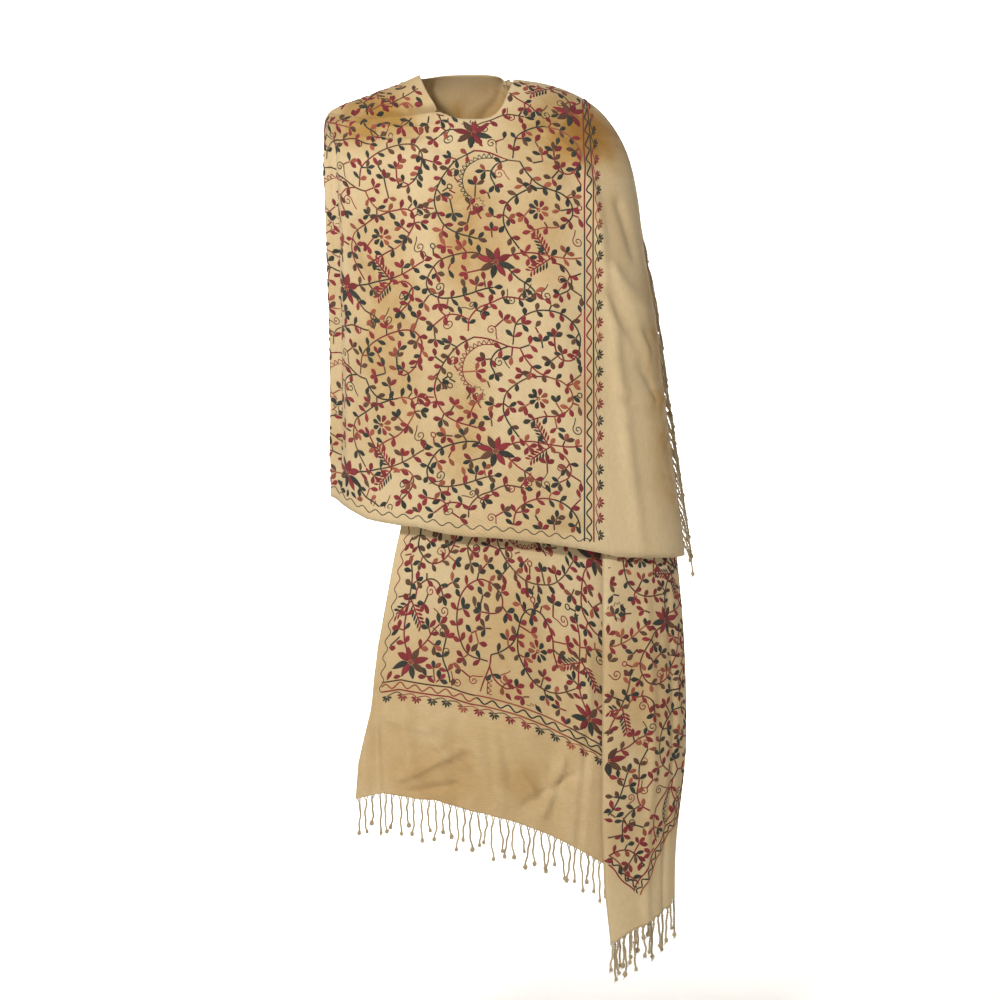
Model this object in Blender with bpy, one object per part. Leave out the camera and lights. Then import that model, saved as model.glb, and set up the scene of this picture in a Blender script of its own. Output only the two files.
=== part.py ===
"""Embroidered stole worn round the shoulders: its cloth walls and its two fringes, at real size.

Metres, +Z up, the front faces -Y, +X is the viewer's right, and the origin is between the shoulders.

The cloth is a rectangle of 0.70 m by 2.00 m. It is worn wound once round a general figure, so every
stretch lies on one form. The form is a stack of rings, each given by how far it reaches to the left,
right, front and back, and how high it lies there. A place on the form is an angle round the figure
(0 right, 90 back, 180 left, 270 front) and a row of the stack, which may lie between two rings.
"""

from collections import namedtuple

import bmesh
import bpy
import mathutils
import numpy as np

# ---------------------------------------------------------------- driving sizes
WALL = 0.0015  # thickness of the cloth walls
SEAM_GAP = 0.0005  # clear space where two stretches of the cloth meet
INNER_TURN = 0.012  # how far the inner turn of the cloth lies under the outer one at the shoulder
INNER_SPARE = 0.012  # how much deeper it lies further down, which leaves room for the pleat
LIP_WIDTH = 0.010  # the upper edge of the front wrap curls in over this width
LIP_DEPTH = 0.006
PLEAT_LAYER = 0.0068  # from one layer of the pleat to the next
PLEAT_LAYER_TOP = 0.0044  # and over the shoulder, where the pleat is pressed flatter
FRINGE_STRANDS = 67  # at each end, a pitch of 10.4 mm
FRINGE_LENGTH = 0.056
STRAND_HALF = 0.0011  # half the thickness of a strand at its root
KNOT_HALF = 0.0014
StrandRing = namedtuple("StrandRing", "share half")  # share of the strand's length, and half its thickness
STRAND_RINGS = [
    StrandRing(0.28, STRAND_HALF * 0.85), StrandRing(0.64, STRAND_HALF * 0.8), StrandRing(0.93, KNOT_HALF),
    StrandRing(1.0, 0.0006),
]
STRIP_GAP = 0.0016  # between the cloth's edge and the narrow backing that the strands grow from
STRIP_HEIGHT = 0.0034  # height of that backing
PER_DEGREE = 0.0042  # metres round the form for a degree, for measuring folds
PER_ROW = 0.056  # metres down the form for a row

# ---------------------------------------------------------------- the form
SECTION_COLUMNS = "left left_z right right_z front front_z back back_z square"
Section = namedtuple("Section", SECTION_COLUMNS)
SECTIONS = [
    Section(0.080, 0.050, 0.053, 0.044, 0.078, -0.018, 0.078, 0.062, 3.4),  # 0 neck rim
    Section(0.114, 0.036, 0.100, 0.038, 0.088, -0.034, 0.100, 0.040, 2.5),
    Section(0.152, 0.022, 0.142, 0.024, 0.097, -0.056, 0.112, 0.012, 2.1),
    Section(0.189, 0.009, 0.176, 0.002, 0.105, -0.082, 0.120, -0.025, 2.1),
    Section(0.212, -0.005, 0.203, -0.031, 0.111, -0.108, 0.126, -0.064, 2.2),  # 4 shoulder point
    Section(0.217, -0.040, 0.222, -0.073, 0.116, -0.142, 0.129, -0.110, 2.35),
    Section(0.214, -0.112, 0.234, -0.130, 0.121, -0.190, 0.129, -0.165, 2.45),
    Section(0.211, -0.200, 0.243, -0.205, 0.124, -0.262, 0.125, -0.235, 2.5),
    Section(0.208, -0.300, 0.260, -0.300, 0.125, -0.345, 0.119, -0.315, 2.5),
    Section(0.207, -0.395, 0.272, -0.405, 0.126, -0.435, 0.115, -0.400, 2.5),
    Section(0.208, -0.480, 0.287, -0.510, 0.128, -0.523, 0.113, -0.485, 2.5),
    Section(0.210, -0.548, 0.305, -0.638, 0.130, -0.606, 0.112, -0.570, 2.5),  # 11 hem of the wrap
    Section(0.235, -0.735, 0.317, -0.770, 0.133, -0.770, 0.114, -0.735, 2.5),
    Section(0.258, -0.905, 0.320, -0.920, 0.134, -0.920, 0.116, -0.905, 2.5),
    Section(0.268, -1.065, 0.306, -1.070, 0.132, -1.070, 0.117, -1.065, 2.5),
    Section(0.272, -1.220, 0.306, -1.220, 0.128, -1.220, 0.118, -1.220, 2.5),
]
HEM_ROW = 11.0
SHOULDER_ROW = 4.0
RING_STEP = 0.15  # height between the rings under the hem row
HANGING_LENGTH = 0.44  # from the front wrap's hem down to the hem of the hanging end

# ---------------------------------------------------------------- edges of the stretches
Edge = namedtuple("Edge", "at value")
# Row of the front wrap's upper edge, by angle: it rises from the left shoulder point to the neck.
WRAP_TOP = [
    Edge(180, 4.0), Edge(190, 3.85), Edge(201, 3.5), Edge(214, 2.7), Edge(226, 1.7), Edge(238, 0.7),
    Edge(246, 0.15), Edge(252, 0.0), Edge(420, 0.0),
]
# Row of the front wrap's hem, by angle.
WRAP_HEM = [
    Edge(180, 11.0), Edge(228, 11.0), Edge(252, 10.9), Edge(276, 11.0), Edge(306, 11.12), Edge(351, 11.0),
]
# Angle of the front wrap's fringed end, by row: behind the shoulder at the top, at the side lower down.
WRAP_END = [
    Edge(0, 400), Edge(2, 384), Edge(4, 373), Edge(6, 366.5), Edge(8, 360), Edge(9.5, 355.5), Edge(11, 351),
]
# Row of the back's upper edge: under the front wrap it starts a little below the neck rim.
BACK_TOP = [Edge(-12, 0.55), Edge(28, 0.55), Edge(48, 0.0), Edge(180, 0.0)]
# X of the hanging end's left selvedge, by row.
END_LEFT_X = [
    Edge(0.55, 0.040), Edge(2, 0.030), Edge(5, -0.010), Edge(8, -0.066), Edge(10, -0.100), Edge(11, -0.112),
    Edge(12, -0.146), Edge(12.6, -0.158), Edge(13.1, -0.176), Edge(13.6, -0.182), Edge(15, -0.180),
]
# X of the cascade's folded edge, by row: it leans in to the low corner of the hem.
END_FOLD_X = [
    Edge(0.55, 0.060), Edge(2, 0.100), Edge(4, 0.145), Edge(6, 0.171), Edge(8, 0.179), Edge(10, 0.183),
    Edge(13.6, 0.183), Edge(14.2, 0.187), Edge(14.7, 0.197), Edge(15, 0.200),
]
END_RIGHT_ANGLE = -12.0
BACK_SPLIT = 58.0  # the angle where the turn over the right shoulder ends and the back begins
# Height of the hanging end's hem, by place across it (0 is the left selvedge, 1 the right one).
END_HEM_Z = [
    Edge(0.0, -0.986), Edge(0.08, -0.974), Edge(0.19, -0.980), Edge(0.28, -1.008), Edge(0.37, -1.042),
    Edge(0.46, -1.078), Edge(0.56, -1.100), Edge(0.62, -1.112), Edge(0.69, -1.145), Edge(0.76, -1.180),
    Edge(0.81, -1.163), Edge(0.88, -1.150), Edge(0.94, -1.140), Edge(1.0, -1.128),
]
# Where across the hanging end its pleat folds: under behind the cascade, and back out at the cascade's edge.
PLEAT_UNDER, PLEAT_OUT = 0.62, 0.76
PLEAT_UNDER_ANGLE = -31.0
PLEAT_TURN = 0.036  # share of the width over which the cloth turns at each fold

# ---------------------------------------------------------------- the largest folds
Fold = namedtuple("Fold", "angle_a row_a angle_b row_b width height")
WRAP_FOLDS = [
    Fold(196, 5.0, 195, 11.2, 0.011, 0.0050),  # ridge down the left arm
    Fold(205, 5.2, 203, 10.6, 0.010, -0.0055),  # and the valley beside it
    Fold(198, 4.9, 248, 1.75, 0.007, -0.0042),  # tuck under the rolled edge
    Fold(196, 4.5, 250, 1.15, 0.006, 0.0034),
    Fold(312, 3.2, 316, 11.0, 0.014, 0.0042),  # soft ridge along the plain end
    Fold(318, 7.1, 336, 8.4, 0.010, 0.0038),  # creases that slant over the right arm
    Fold(315, 7.6, 338, 9.0, 0.009, -0.0038),
    Fold(316, 9.1, 344, 9.5, 0.009, 0.0036),
    Fold(250, 2.4, 292, 3.1, 0.020, -0.0040),  # cloth drawn from shoulder to shoulder
    Fold(228, 6.3, 262, 8.8, 0.024, 0.0034),
    Fold(256, 8.6, 270, 11.0, 0.022, -0.0032),
    Fold(288, 5.8, 296, 9.6, 0.024, 0.0030),
]
BACK_FOLDS = [
    Fold(150, 1.5, 118, 6.0, 0.018, 0.0060),
    Fold(132, 0.6, 96, 4.6, 0.015, -0.0060),
    Fold(52, 1.2, 84, 5.6, 0.018, 0.0060),
    Fold(68, 0.5, 100, 3.6, 0.013, 0.0045),
    Fold(140, 5.5, 146, 11.2, 0.020, 0.0080),
    Fold(122, 6.5, 124, 11.2, 0.016, -0.0070),
    Fold(100, 5.6, 98, 11.2, 0.022, 0.0085),
    Fold(74, 6.6, 72, 11.2, 0.016, -0.0070),
    Fold(52, 5.4, 50, 11.2, 0.018, 0.0075),
    Fold(28, 6.0, 27, 11.2, 0.014, -0.0050),
    Fold(165, 5.8, 166, 11.2, 0.012, -0.0045),
]
END_FOLDS = [
    Fold(222, 11.8, 224, 13.7, 0.010, 0.0050),  # at the left selvedge
    Fold(238, 12.4, 240, 13.7, 0.012, -0.0060),
    Fold(250, 12.6, 262, 14.0, 0.010, 0.0065),  # the two bright folds of the plain end
    Fold(266, 12.6, 268, 14.1, 0.009, -0.0055),
    Fold(274, 12.7, 273, 14.2, 0.009, 0.0055),
    Fold(284, 11.6, 287, 14.3, 0.014, -0.0045),
    Fold(296, 12.0, 294, 14.6, 0.009, 0.0050),
]
CASCADE_FOLDS = [
    Fold(318, 11.4, 322, 15.2, 0.010, 0.0040),
    Fold(332, 11.4, 334, 14.8, 0.010, -0.0035),
]

# ---------------------------------------------------------------- how fine each grid is
WORN_LINES = np.linspace(0.0, 1.0, 14)  # down the back, and down the hanging end as far as the wrap's hem
HANGING_LINES = np.linspace(1.0, 2.0, 9)
GRIDS = {
    "front_wrap": (40, np.linspace(0.0, 1.0, 21)),
    "left_shoulder": (14, np.linspace(0.0, 1.0, 9)),
    "right_shoulder": (15, WORN_LINES),
    "back_wrap": (25, WORN_LINES),
    "front_end": (38, np.concatenate([WORN_LINES, HANGING_LINES[1:]])),
}
COLOURS = {
    "front_wrap": (0.60, 0.45, 0.26),
    "left_shoulder": (0.50, 0.37, 0.21),
    "right_shoulder": (0.50, 0.37, 0.21),
    "back_wrap": (0.52, 0.38, 0.21),
    "front_end": (0.57, 0.42, 0.24),
    "fringe_front": (0.42, 0.32, 0.20),
    "fringe_side": (0.42, 0.32, 0.20),
}


# ---------------------------------------------------------------- small helpers
def ease(value):
    """0 below 0, 1 above 1, and a smooth change between."""
    value = np.clip(value, 0.0, 1.0)
    return value * value * (3.0 - 2.0 * value)


def read_edge(table, at):
    """The value of an edge table at a place, along straight lines between its rows."""
    return np.interp(at, [edge.at for edge in table], [edge.value for edge in table])


def unit(vectors):
    return vectors / np.linalg.norm(vectors, axis=-1, keepdims=True)


def spread(count, crowded):
    """Places from 0 to 1, with extra ones close round each crowded place."""
    even = np.linspace(0.0, 1.0, count)
    close = np.linspace(-0.018, 0.018, 7)
    extra = [place + step for place in crowded for step in close]
    kept = [place for place in even if all(abs(place - spot) > 0.026 for spot in crowded)]
    return np.array(sorted(kept + extra))


def grid_columns(name):
    """Places of a stretch's columns: the pleated one has more of them at its folds."""
    crowded = (PLEAT_UNDER, PLEAT_OUT) if name == "front_end" else ()
    return spread(GRIDS[name][0], crowded)


def row_at_height(height):
    """The row of a height under the wrap's hem, where the rings lie level."""
    return 12.0 + (-0.770 - height) / RING_STEP


# ---------------------------------------------------------------- the form and places on it
def section(row):
    """The ring at each row, on a smooth curve through the rings of the table."""
    table = np.array(SECTIONS)
    row = np.clip(row, 0.0, len(table) - 1.0)
    first = np.clip(np.floor(row).astype(int), 0, len(table) - 2)
    part = (row - first)[..., None]
    before = table[np.maximum(first - 1, 0)]
    here = table[first]
    after = table[first + 1]
    beyond = table[np.minimum(first + 2, len(table) - 1)]
    slope_here = (after - before) / 2.0
    slope_after = (beyond - here) / 2.0
    square, cube = part**2, part**3
    return (
        here * (2.0 * cube - 3.0 * square + 1.0)
        + slope_here * (cube - 2.0 * square + part)
        + after * (3.0 * square - 2.0 * cube)
        + slope_after * (cube - square)
    )


def form(angle, row):
    """Points of the form: rings between an ellipse and a rectangle, higher or lower on each of four sides."""
    angle, row = np.broadcast_arrays(np.asarray(angle, float), np.asarray(row, float))
    left, left_z, right, right_z, front, front_z, back, back_z, square = np.moveaxis(section(row), -1, 0)
    across, along = np.cos(np.radians(angle)), np.sin(np.radians(angle))
    power = 2.0 / square
    x = np.where(across > 0.0, right, -left) * np.abs(across) ** power
    y = np.where(along > 0.0, back, -front) * np.abs(along) ** power
    side_z = np.where(across > 0.0, right_z, left_z)
    face_z = np.where(along > 0.0, back_z, front_z)
    return np.stack([x, y, side_z * across**2 + face_z * along**2], axis=-1)


def outward(angle, row):
    """Unit vectors that point out of the form."""
    row = np.clip(row, 0.02, len(SECTIONS) - 1.02)
    round_it = form(angle + 0.4, row) - form(angle - 0.4, row)
    down_it = form(angle, row + 0.02) - form(angle, row - 0.02)
    return unit(np.cross(down_it, round_it))


def on_form(angle, row, offset):
    return form(angle, row) + outward(angle, row) * np.asarray(offset)[..., None]


def fold_height(folds, angle, row):
    """How far the folds raise or sink the cloth: each is a soft ridge or trough round a line on the form."""
    total = np.zeros(np.broadcast(angle, row).shape)
    for fold in folds:
        start = np.array([fold.angle_a * PER_DEGREE, fold.row_a * PER_ROW])
        run = np.array([fold.angle_b * PER_DEGREE, fold.row_b * PER_ROW]) - start
        length = np.hypot(*run)
        beside = np.stack(np.broadcast_arrays(angle * PER_DEGREE, row * PER_ROW), axis=-1) - start
        along = beside @ run / length**2
        aside = (beside[..., 0] * run[1] - beside[..., 1] * run[0]) / length
        ends = ease(along / 0.22 + 0.5) * ease((1.0 - along) / 0.22 + 0.5)
        total += fold.height * np.exp(-((aside / fold.width) ** 2)) * ends
    return total


def degree_run(row):
    """Metres round the form for one degree: fewer near the neck, where the rings are small."""
    return PER_DEGREE * (0.28 + 0.72 * ease(row / SHOULDER_ROW))


def seam_turn(row):
    """Degrees that leave the seam gap between two stretches."""
    return SEAM_GAP / degree_run(row)


def under_turn(row):
    """How far the inner turn lies under the outer one."""
    return -INNER_TURN - INNER_SPARE * ease((row - 3.0) / 4.0)


# ---------------------------------------------------------------- the five stretches of cloth
def front_wrap(across, down):
    """Outermost stretch. across 0 is the left arm and 1 the fringed end, down 0 is the upper edge."""
    row = down * HEM_ROW
    for _ in range(3):  # the fringed end leans, so its angle and the row settle together
        start = 180.0 + seam_turn(row)
        angle = start + across * (read_edge(WRAP_END, row) - start)
        top = read_edge(WRAP_TOP, angle)
        row = top + down * (read_edge(WRAP_HEM, angle) - top)
    below_top = (row - top) * PER_ROW
    lip = LIP_DEPTH * np.clip(1.0 - below_top / LIP_WIDTH, 0.0, 1.0) ** 2 * ease((angle - 184.0) / 16.0)
    shared = fold_height(BACK_FOLDS, angle, row) * ease((190.0 - angle) / 10.0)
    return on_form(angle, row, fold_height(WRAP_FOLDS, angle, row) + shared - lip)


def left_shoulder(across, down):
    """The turn over the left shoulder. across 0 is the shoulder's ridge and 1 the neck's front corner."""
    angle = 180.0 + seam_turn(down * SHOULDER_ROW) + across * 60.0
    dip = ease((angle - 181.0) / 12.0)
    under = -0.06 + 0.9 * ease((angle - 188.0) / 12.0)
    crease = read_edge(WRAP_TOP, angle)
    row = down * (crease + under)
    near = ease(1.0 - (crease - row) / 1.1)
    return on_form(angle, row, -INNER_TURN * dip * near - 0.0045 * near * dip)


def back_cloth(angle, down):
    """The cloth behind the neck and round both arms, at an angle and a share of the way down."""
    top = read_edge(BACK_TOP, angle)
    row = top + down * (HEM_ROW - top)
    covered = ease((88.0 - angle) / 36.0)
    pleated = 2.0 * pleat_layer(row) * ease((20.0 - angle) / 26.0)
    folds = fold_height(BACK_FOLDS, angle, row) * ease((angle - 6.0) / 16.0)
    folds = folds + fold_height(WRAP_FOLDS, angle, row) * ease((angle - 170.0) / 10.0)
    return on_form(angle, row, under_turn(row) * covered + pleated + folds)


def right_shoulder(across, down):
    """The turn over the right shoulder, mostly under the front wrap. across 0 is in front and 1 behind."""
    end = BACK_SPLIT - seam_turn(down * HEM_ROW)
    return back_cloth(END_RIGHT_ANGLE + across * (end - END_RIGHT_ANGLE), down)


def back_wrap(across, down):
    """The stretch across the back. across 0 is behind the right shoulder and 1 at the left arm."""
    return back_cloth(BACK_SPLIT + across * (180.0 - BACK_SPLIT), down)


def pleat_layer(row):
    """From one layer of the pleat to the next: they lie closer over the shoulder."""
    return PLEAT_LAYER_TOP + (PLEAT_LAYER - PLEAT_LAYER_TOP) * ease((row - 3.0) / 4.0)


def angle_at(x, row):
    """The angle, on the front of the form, of a place with this X."""
    ring = section(row)
    left, right, square = ring[..., 0], ring[..., 2], ring[..., 8]
    share = np.where(x > 0.0, x / right, -x / left)
    turn = np.degrees(np.arccos(np.clip(share, 0.0, 1.0) ** (square / 2.0)))
    return np.where(x > 0.0, -turn, turn - 180.0)


def pleat_layers(across, row):
    """Angle and offset across the hanging end, which is folded in a Z-pleat from the shoulder to its hem.

    It runs on under the cascade, folds back to the cascade's edge, and folds out again to the right selvedge.
    """
    left_angle = angle_at(read_edge(END_LEFT_X, row), row)
    fold_angle = angle_at(read_edge(END_FOLD_X, row), row)
    under_angle = np.full(np.shape(row), PLEAT_UNDER_ANGLE)
    places = np.stack(
        [
            left_angle + (under_angle - left_angle) * across / PLEAT_UNDER,
            under_angle + (fold_angle - under_angle) * (across - PLEAT_UNDER) / (PLEAT_OUT - PLEAT_UNDER),
            fold_angle + (END_RIGHT_ANGLE - fold_angle) * (across - PLEAT_OUT) / (1.0 - PLEAT_OUT),
        ]
    )
    layer = (across > PLEAT_UNDER).astype(int) + (across > PLEAT_OUT).astype(int)
    angle = np.take_along_axis(places, layer[None], axis=0)[0]
    lift = sum(ease((across - turn) / PLEAT_TURN + 0.5) for turn in (PLEAT_UNDER, PLEAT_OUT))
    return angle, lift * pleat_layer(row)


def front_end(across, down):
    """The hanging end. across 0 is the left selvedge and 1 the right one.

    down 0 is at the shoulder, 1 at the level of the front wrap's hem, and 2 at its own hem.
    """
    columns = grid_columns("front_end")
    hem = row_at_height(np.interp(across, columns, read_edge(END_HEM_Z, columns)))
    top = BACK_TOP[0].value
    row = top + np.minimum(down, 1.0) * (HEM_ROW - top) + np.maximum(down - 1.0, 0.0) * (hem - HEM_ROW)
    angle, lift = pleat_layers(across, row)
    angle = angle - seam_turn(row)
    shown = ease((row - HEM_ROW) / 0.6)
    outer = ease((across - PLEAT_OUT) / 0.03)
    inner = ease((PLEAT_UNDER - 0.16 - across) / 0.06)
    folds = fold_height(END_FOLDS, angle + 360.0, row) * inner
    folds = folds + fold_height(CASCADE_FOLDS, angle + 360.0, row) * outer
    return on_form(angle, row, under_turn(row) + lift + folds * shown)


# ---------------------------------------------------------------- making the objects
def material_for(name):
    material = bpy.data.materials.new(name)
    material.use_nodes = True
    shader = material.node_tree.nodes["Principled BSDF"]
    shader.inputs["Base Color"].default_value = (*COLOURS[name], 1.0)
    shader.inputs["Roughness"].default_value = 0.85
    shader.inputs["Metallic"].default_value = 0.0
    return material


def object_from(name, mesh_data):
    mesh = bpy.data.meshes.new(name)
    mesh_data.to_mesh(mesh)
    mesh_data.free()
    mesh.materials.append(material_for(name))
    mesh.shade_smooth()
    made = bpy.data.objects.new(name, mesh)
    bpy.context.scene.collection.objects.link(made)
    return made


def cloth_wall(name, stretch, across, down):
    """One stretch of cloth: a grid laid on the form, then given the thickness of the wall."""
    mesh_data = bmesh.new()
    bmesh.ops.create_grid(mesh_data, x_segments=len(across) - 1, y_segments=len(down) - 1, size=0.5)
    flat = np.array([vert.co for vert in mesh_data.verts]) + 0.5
    column = np.rint(flat[:, 0] * (len(across) - 1)).astype(int)
    line = np.rint(flat[:, 1] * (len(down) - 1)).astype(int)
    placed = stretch(across[column], down[line])
    for vert, place in zip(mesh_data.verts, placed):
        vert.co = place
    bmesh.ops.reverse_faces(mesh_data, faces=mesh_data.faces)
    made = object_from(name, mesh_data)
    wall = made.modifiers.new("wall", "SOLIDIFY")
    wall.thickness = WALL
    wall.offset = 0.0
    return made


def extrude_rings(mesh_data, face, signs, rings):
    """Extrudes a four-sided face through rings, each a centre and two half axes; returns their corners."""
    passed = []
    for centre, half_a, half_b in rings:
        face = bmesh.ops.extrude_discrete_faces(mesh_data, faces=[face])["faces"][0]
        for vert, (sign_a, sign_b) in zip(face.verts, signs):
            vert.co = centre + sign_a * half_a + sign_b * half_b
        passed.append(list(face.verts))
    return passed


def fringe(name, edge, lay, turning):
    """A narrow strip beside a fringed edge, and strands that grow from it.

    edge(place, out) is the point this far out of the edge at a place from 0 to 1 along it, and
    lay(place, share) is the strand's centre at a share of its length, measured from its root. The strands'
    sides turn with them where turning is true; those that hang straight keep the strip's own directions.
    """
    fine = np.linspace(0.0, 1.0, 1201)
    steps = np.linalg.norm(np.diff(edge(fine, STRIP_GAP), axis=0), axis=1)
    travelled = np.concatenate([[0.0], np.cumsum(steps)])
    middle = (np.arange(FRINGE_STRANDS) + 0.5) / FRINGE_STRANDS * travelled[-1]
    stops = np.sort(np.concatenate([middle - STRAND_HALF, middle + STRAND_HALF]))
    places = np.interp(stops, travelled, fine)
    near, far = edge(places, STRIP_GAP), edge(places, STRIP_GAP + STRIP_HEIGHT)
    facing = strip_facing(edge, places)
    rings = [
        ((high + low) / 2.0, side * WALL / 2.0, (high - low) / 2.0)
        for high, low, side in zip(near, far, facing)
    ]
    mesh_data = bmesh.new()
    corners = bmesh.ops.create_cube(mesh_data, size=1.0)["verts"]
    for vert in corners:
        vert.co = [np.sign(value) for value in vert.co]
    start = next(face for face in mesh_data.faces if all(vert.co.x > 0.0 for vert in face.verts))
    signs = [(vert.co.y, vert.co.z) for vert in start.verts]
    bottoms = [next(face for face in mesh_data.faces if all(vert.co.z < 0.0 for vert in face.verts))]
    far_verts = list(start.verts)
    for vert in corners:
        centre, half_a, half_b = rings[1] if vert in far_verts else rings[0]
        vert.co = centre + vert.co.y * half_a + vert.co.z * half_b
    chain = [far_verts] + extrude_rings(mesh_data, start, signs, rings[2:])
    low = [index for index, sign in enumerate(signs) if sign[1] < 0.0]
    for first, second in zip(chain, chain[1:]):
        corners = [first[low[0]], first[low[1]], second[low[0]], second[low[1]]]
        bottoms.append(next(f for f in first[low[0]].link_faces if all(vert in f.verts for vert in corners)))
    for strand in range(FRINGE_STRANDS):
        place = np.interp(middle[strand], travelled, fine)
        grow_strand(mesh_data, bottoms[2 * strand], lay, place, strand, turning)
    bmesh.ops.recalc_face_normals(mesh_data, faces=mesh_data.faces)
    return object_from(name, mesh_data)


def strip_facing(edge, places):
    """Unit vectors across the strip: square to the edge and to the way out of it."""
    step = 0.0008
    along = edge(np.clip(places + step, 0, 1), STRIP_GAP) - edge(np.clip(places - step, 0, 1), STRIP_GAP)
    out = edge(places, STRIP_GAP + STRIP_HEIGHT) - edge(places, STRIP_GAP)
    return unit(np.cross(along, out))


def grow_strand(mesh_data, root, lay, place, number, turning):
    """One strand: four sides, a thin tip, and a knot above it."""
    corners = np.array([vert.co for vert in root.verts])
    centre = corners.mean(axis=0)
    half_a = unit((corners[0] + corners[1]) / 2.0 - centre)
    half_b = unit((corners[1] + corners[2]) / 2.0 - centre)
    signs = [(1, -1), (1, 1), (-1, 1), (-1, -1)]
    length = FRINGE_LENGTH * (1.0 + 0.16 * np.sin(number * 2.4) + 0.08 * np.sin(number * 5.1))
    leaving = lay(place, 0.04, length, number) - lay(place, 0.0, length, number)
    out = np.cross(half_a, half_b)
    out = mathutils.Vector(out if out @ leaving > 0.0 else -out)
    rings = []
    for ring in STRAND_RINGS:
        before = lay(place, max(ring.share - 0.05, 0.0), length, number)
        after = lay(place, min(ring.share + 0.05, 1.0), length, number)
        way = mathutils.Vector(after - before) if turning else out
        turn = out.rotation_difference(way).to_matrix()
        turned_a = np.array(turn @ mathutils.Vector(half_a)) * ring.half
        turned_b = np.array(turn @ mathutils.Vector(half_b)) * ring.half
        rings.append((centre + lay(place, ring.share, length, number), turned_a, turned_b))
    extrude_rings(mesh_data, root, signs, rings)


def front_fringe_edge(place, out):
    """The hem of the hanging end, carried on downwards."""
    return front_end(place, 2.0 + out / HANGING_LENGTH)


def front_fringe_lay(place, share, length, number):
    """Strands hang, and sway a little along the hem."""
    sway = 0.0022 * np.sin(number * 1.9 + share * 2.6) * share
    return np.array([sway, 0.0012 * np.sin(number * 3.3) * share, -length * share])


def side_fringe_edge(place, out):
    """The fringed end of the front wrap, from its upper edge to its hem."""
    row = HEM_ROW * place
    run = degree_run(row) * (read_edge(WRAP_END, row) - 180.0)
    return front_wrap(1.0 + out / run, 0.008 + 0.984 * place)


def side_fringe_lay(place, share, length, number):
    """Strands leave the edge level and droop down the arm; lower down they stand a little off it."""
    row = HEM_ROW * place
    angle = read_edge(WRAP_END, row)
    above = max(row - 0.3, 0.0)
    run = np.linalg.norm(form(angle, row + 0.3) - form(angle, above)) / (row + 0.3 - above)
    back = 0.58 - 0.09 * ease((row - 4.5) / 2.5) - 0.05 * ease((row - 9.8) / 1.2)
    down = 0.83 + 0.10 * ease((row - 4.0) / 2.5) + 0.02 * np.sin(number * 2.9)
    turned = back * length * share**0.85 / degree_run(row)
    lowered = down * length * share**1.15 / run * ease(row / 1.5 + 0.3)
    stand = (0.0090 + 0.0012 * np.sin(number * 2.3)) * ease((row - 4.5) / 2.5)
    lift = (0.0015 - 0.0035 * ease(row / 3.0) + 0.0010 * np.sin(number * 1.7)) * share
    lift = lift + stand * np.sin(0.62 * np.pi * share)
    return on_form(angle + turned, row + lowered, lift) - on_form(angle, row, 0.0)


def main():
    for old in list(bpy.data.objects):
        bpy.data.objects.remove(old, do_unlink=True)
    for name, stretch in (
        ("front_wrap", front_wrap),
        ("left_shoulder", left_shoulder),
        ("right_shoulder", right_shoulder),
        ("back_wrap", back_wrap),
        ("front_end", front_end),
    ):
        cloth_wall(name, stretch, grid_columns(name), GRIDS[name][1])
    fringe("fringe_front", front_fringe_edge, front_fringe_lay, False)
    fringe("fringe_side", side_fringe_edge, side_fringe_lay, True)


main()
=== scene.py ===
"""Embroidered stole worn round the shoulders: its cloth, embroidery and fringes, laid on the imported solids.

Laid out as a Blender add-on and run as a script. Metres, +Z up, the front faces -Y and the origin is between
the shoulders. The cloth is twill, wound once round a general figure; a place on it is an angle round the
figure (0 right, 90 back, 180 left, 270 front) and a row down a stack of rings, as in the solids.
"""

import functools
from collections import namedtuple

import bmesh
import bpy
import mathutils
import mathutils.kdtree
import numpy as np
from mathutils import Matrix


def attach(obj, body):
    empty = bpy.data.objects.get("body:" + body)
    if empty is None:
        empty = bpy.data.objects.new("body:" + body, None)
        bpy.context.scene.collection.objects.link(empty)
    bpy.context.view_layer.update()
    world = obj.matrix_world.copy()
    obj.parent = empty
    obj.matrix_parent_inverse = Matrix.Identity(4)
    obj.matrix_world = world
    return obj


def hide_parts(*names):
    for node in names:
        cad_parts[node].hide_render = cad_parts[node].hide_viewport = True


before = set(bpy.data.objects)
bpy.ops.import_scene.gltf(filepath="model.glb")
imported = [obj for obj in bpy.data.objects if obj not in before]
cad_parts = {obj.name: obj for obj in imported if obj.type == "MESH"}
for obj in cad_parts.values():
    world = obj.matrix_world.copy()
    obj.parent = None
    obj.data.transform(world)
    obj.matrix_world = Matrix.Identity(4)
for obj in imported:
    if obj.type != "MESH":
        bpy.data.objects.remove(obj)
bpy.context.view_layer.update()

bl_info = {
    "name": "Embroidered stole",
    "version": (1, 0, 0),
    "blender": (4, 5, 0),
    "location": "3D View > Sidebar > Stole",
    "description": "Builds the worn cloth, its chain-stitch embroidery and its twisted fringes",
    "category": "Object",
}

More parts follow.
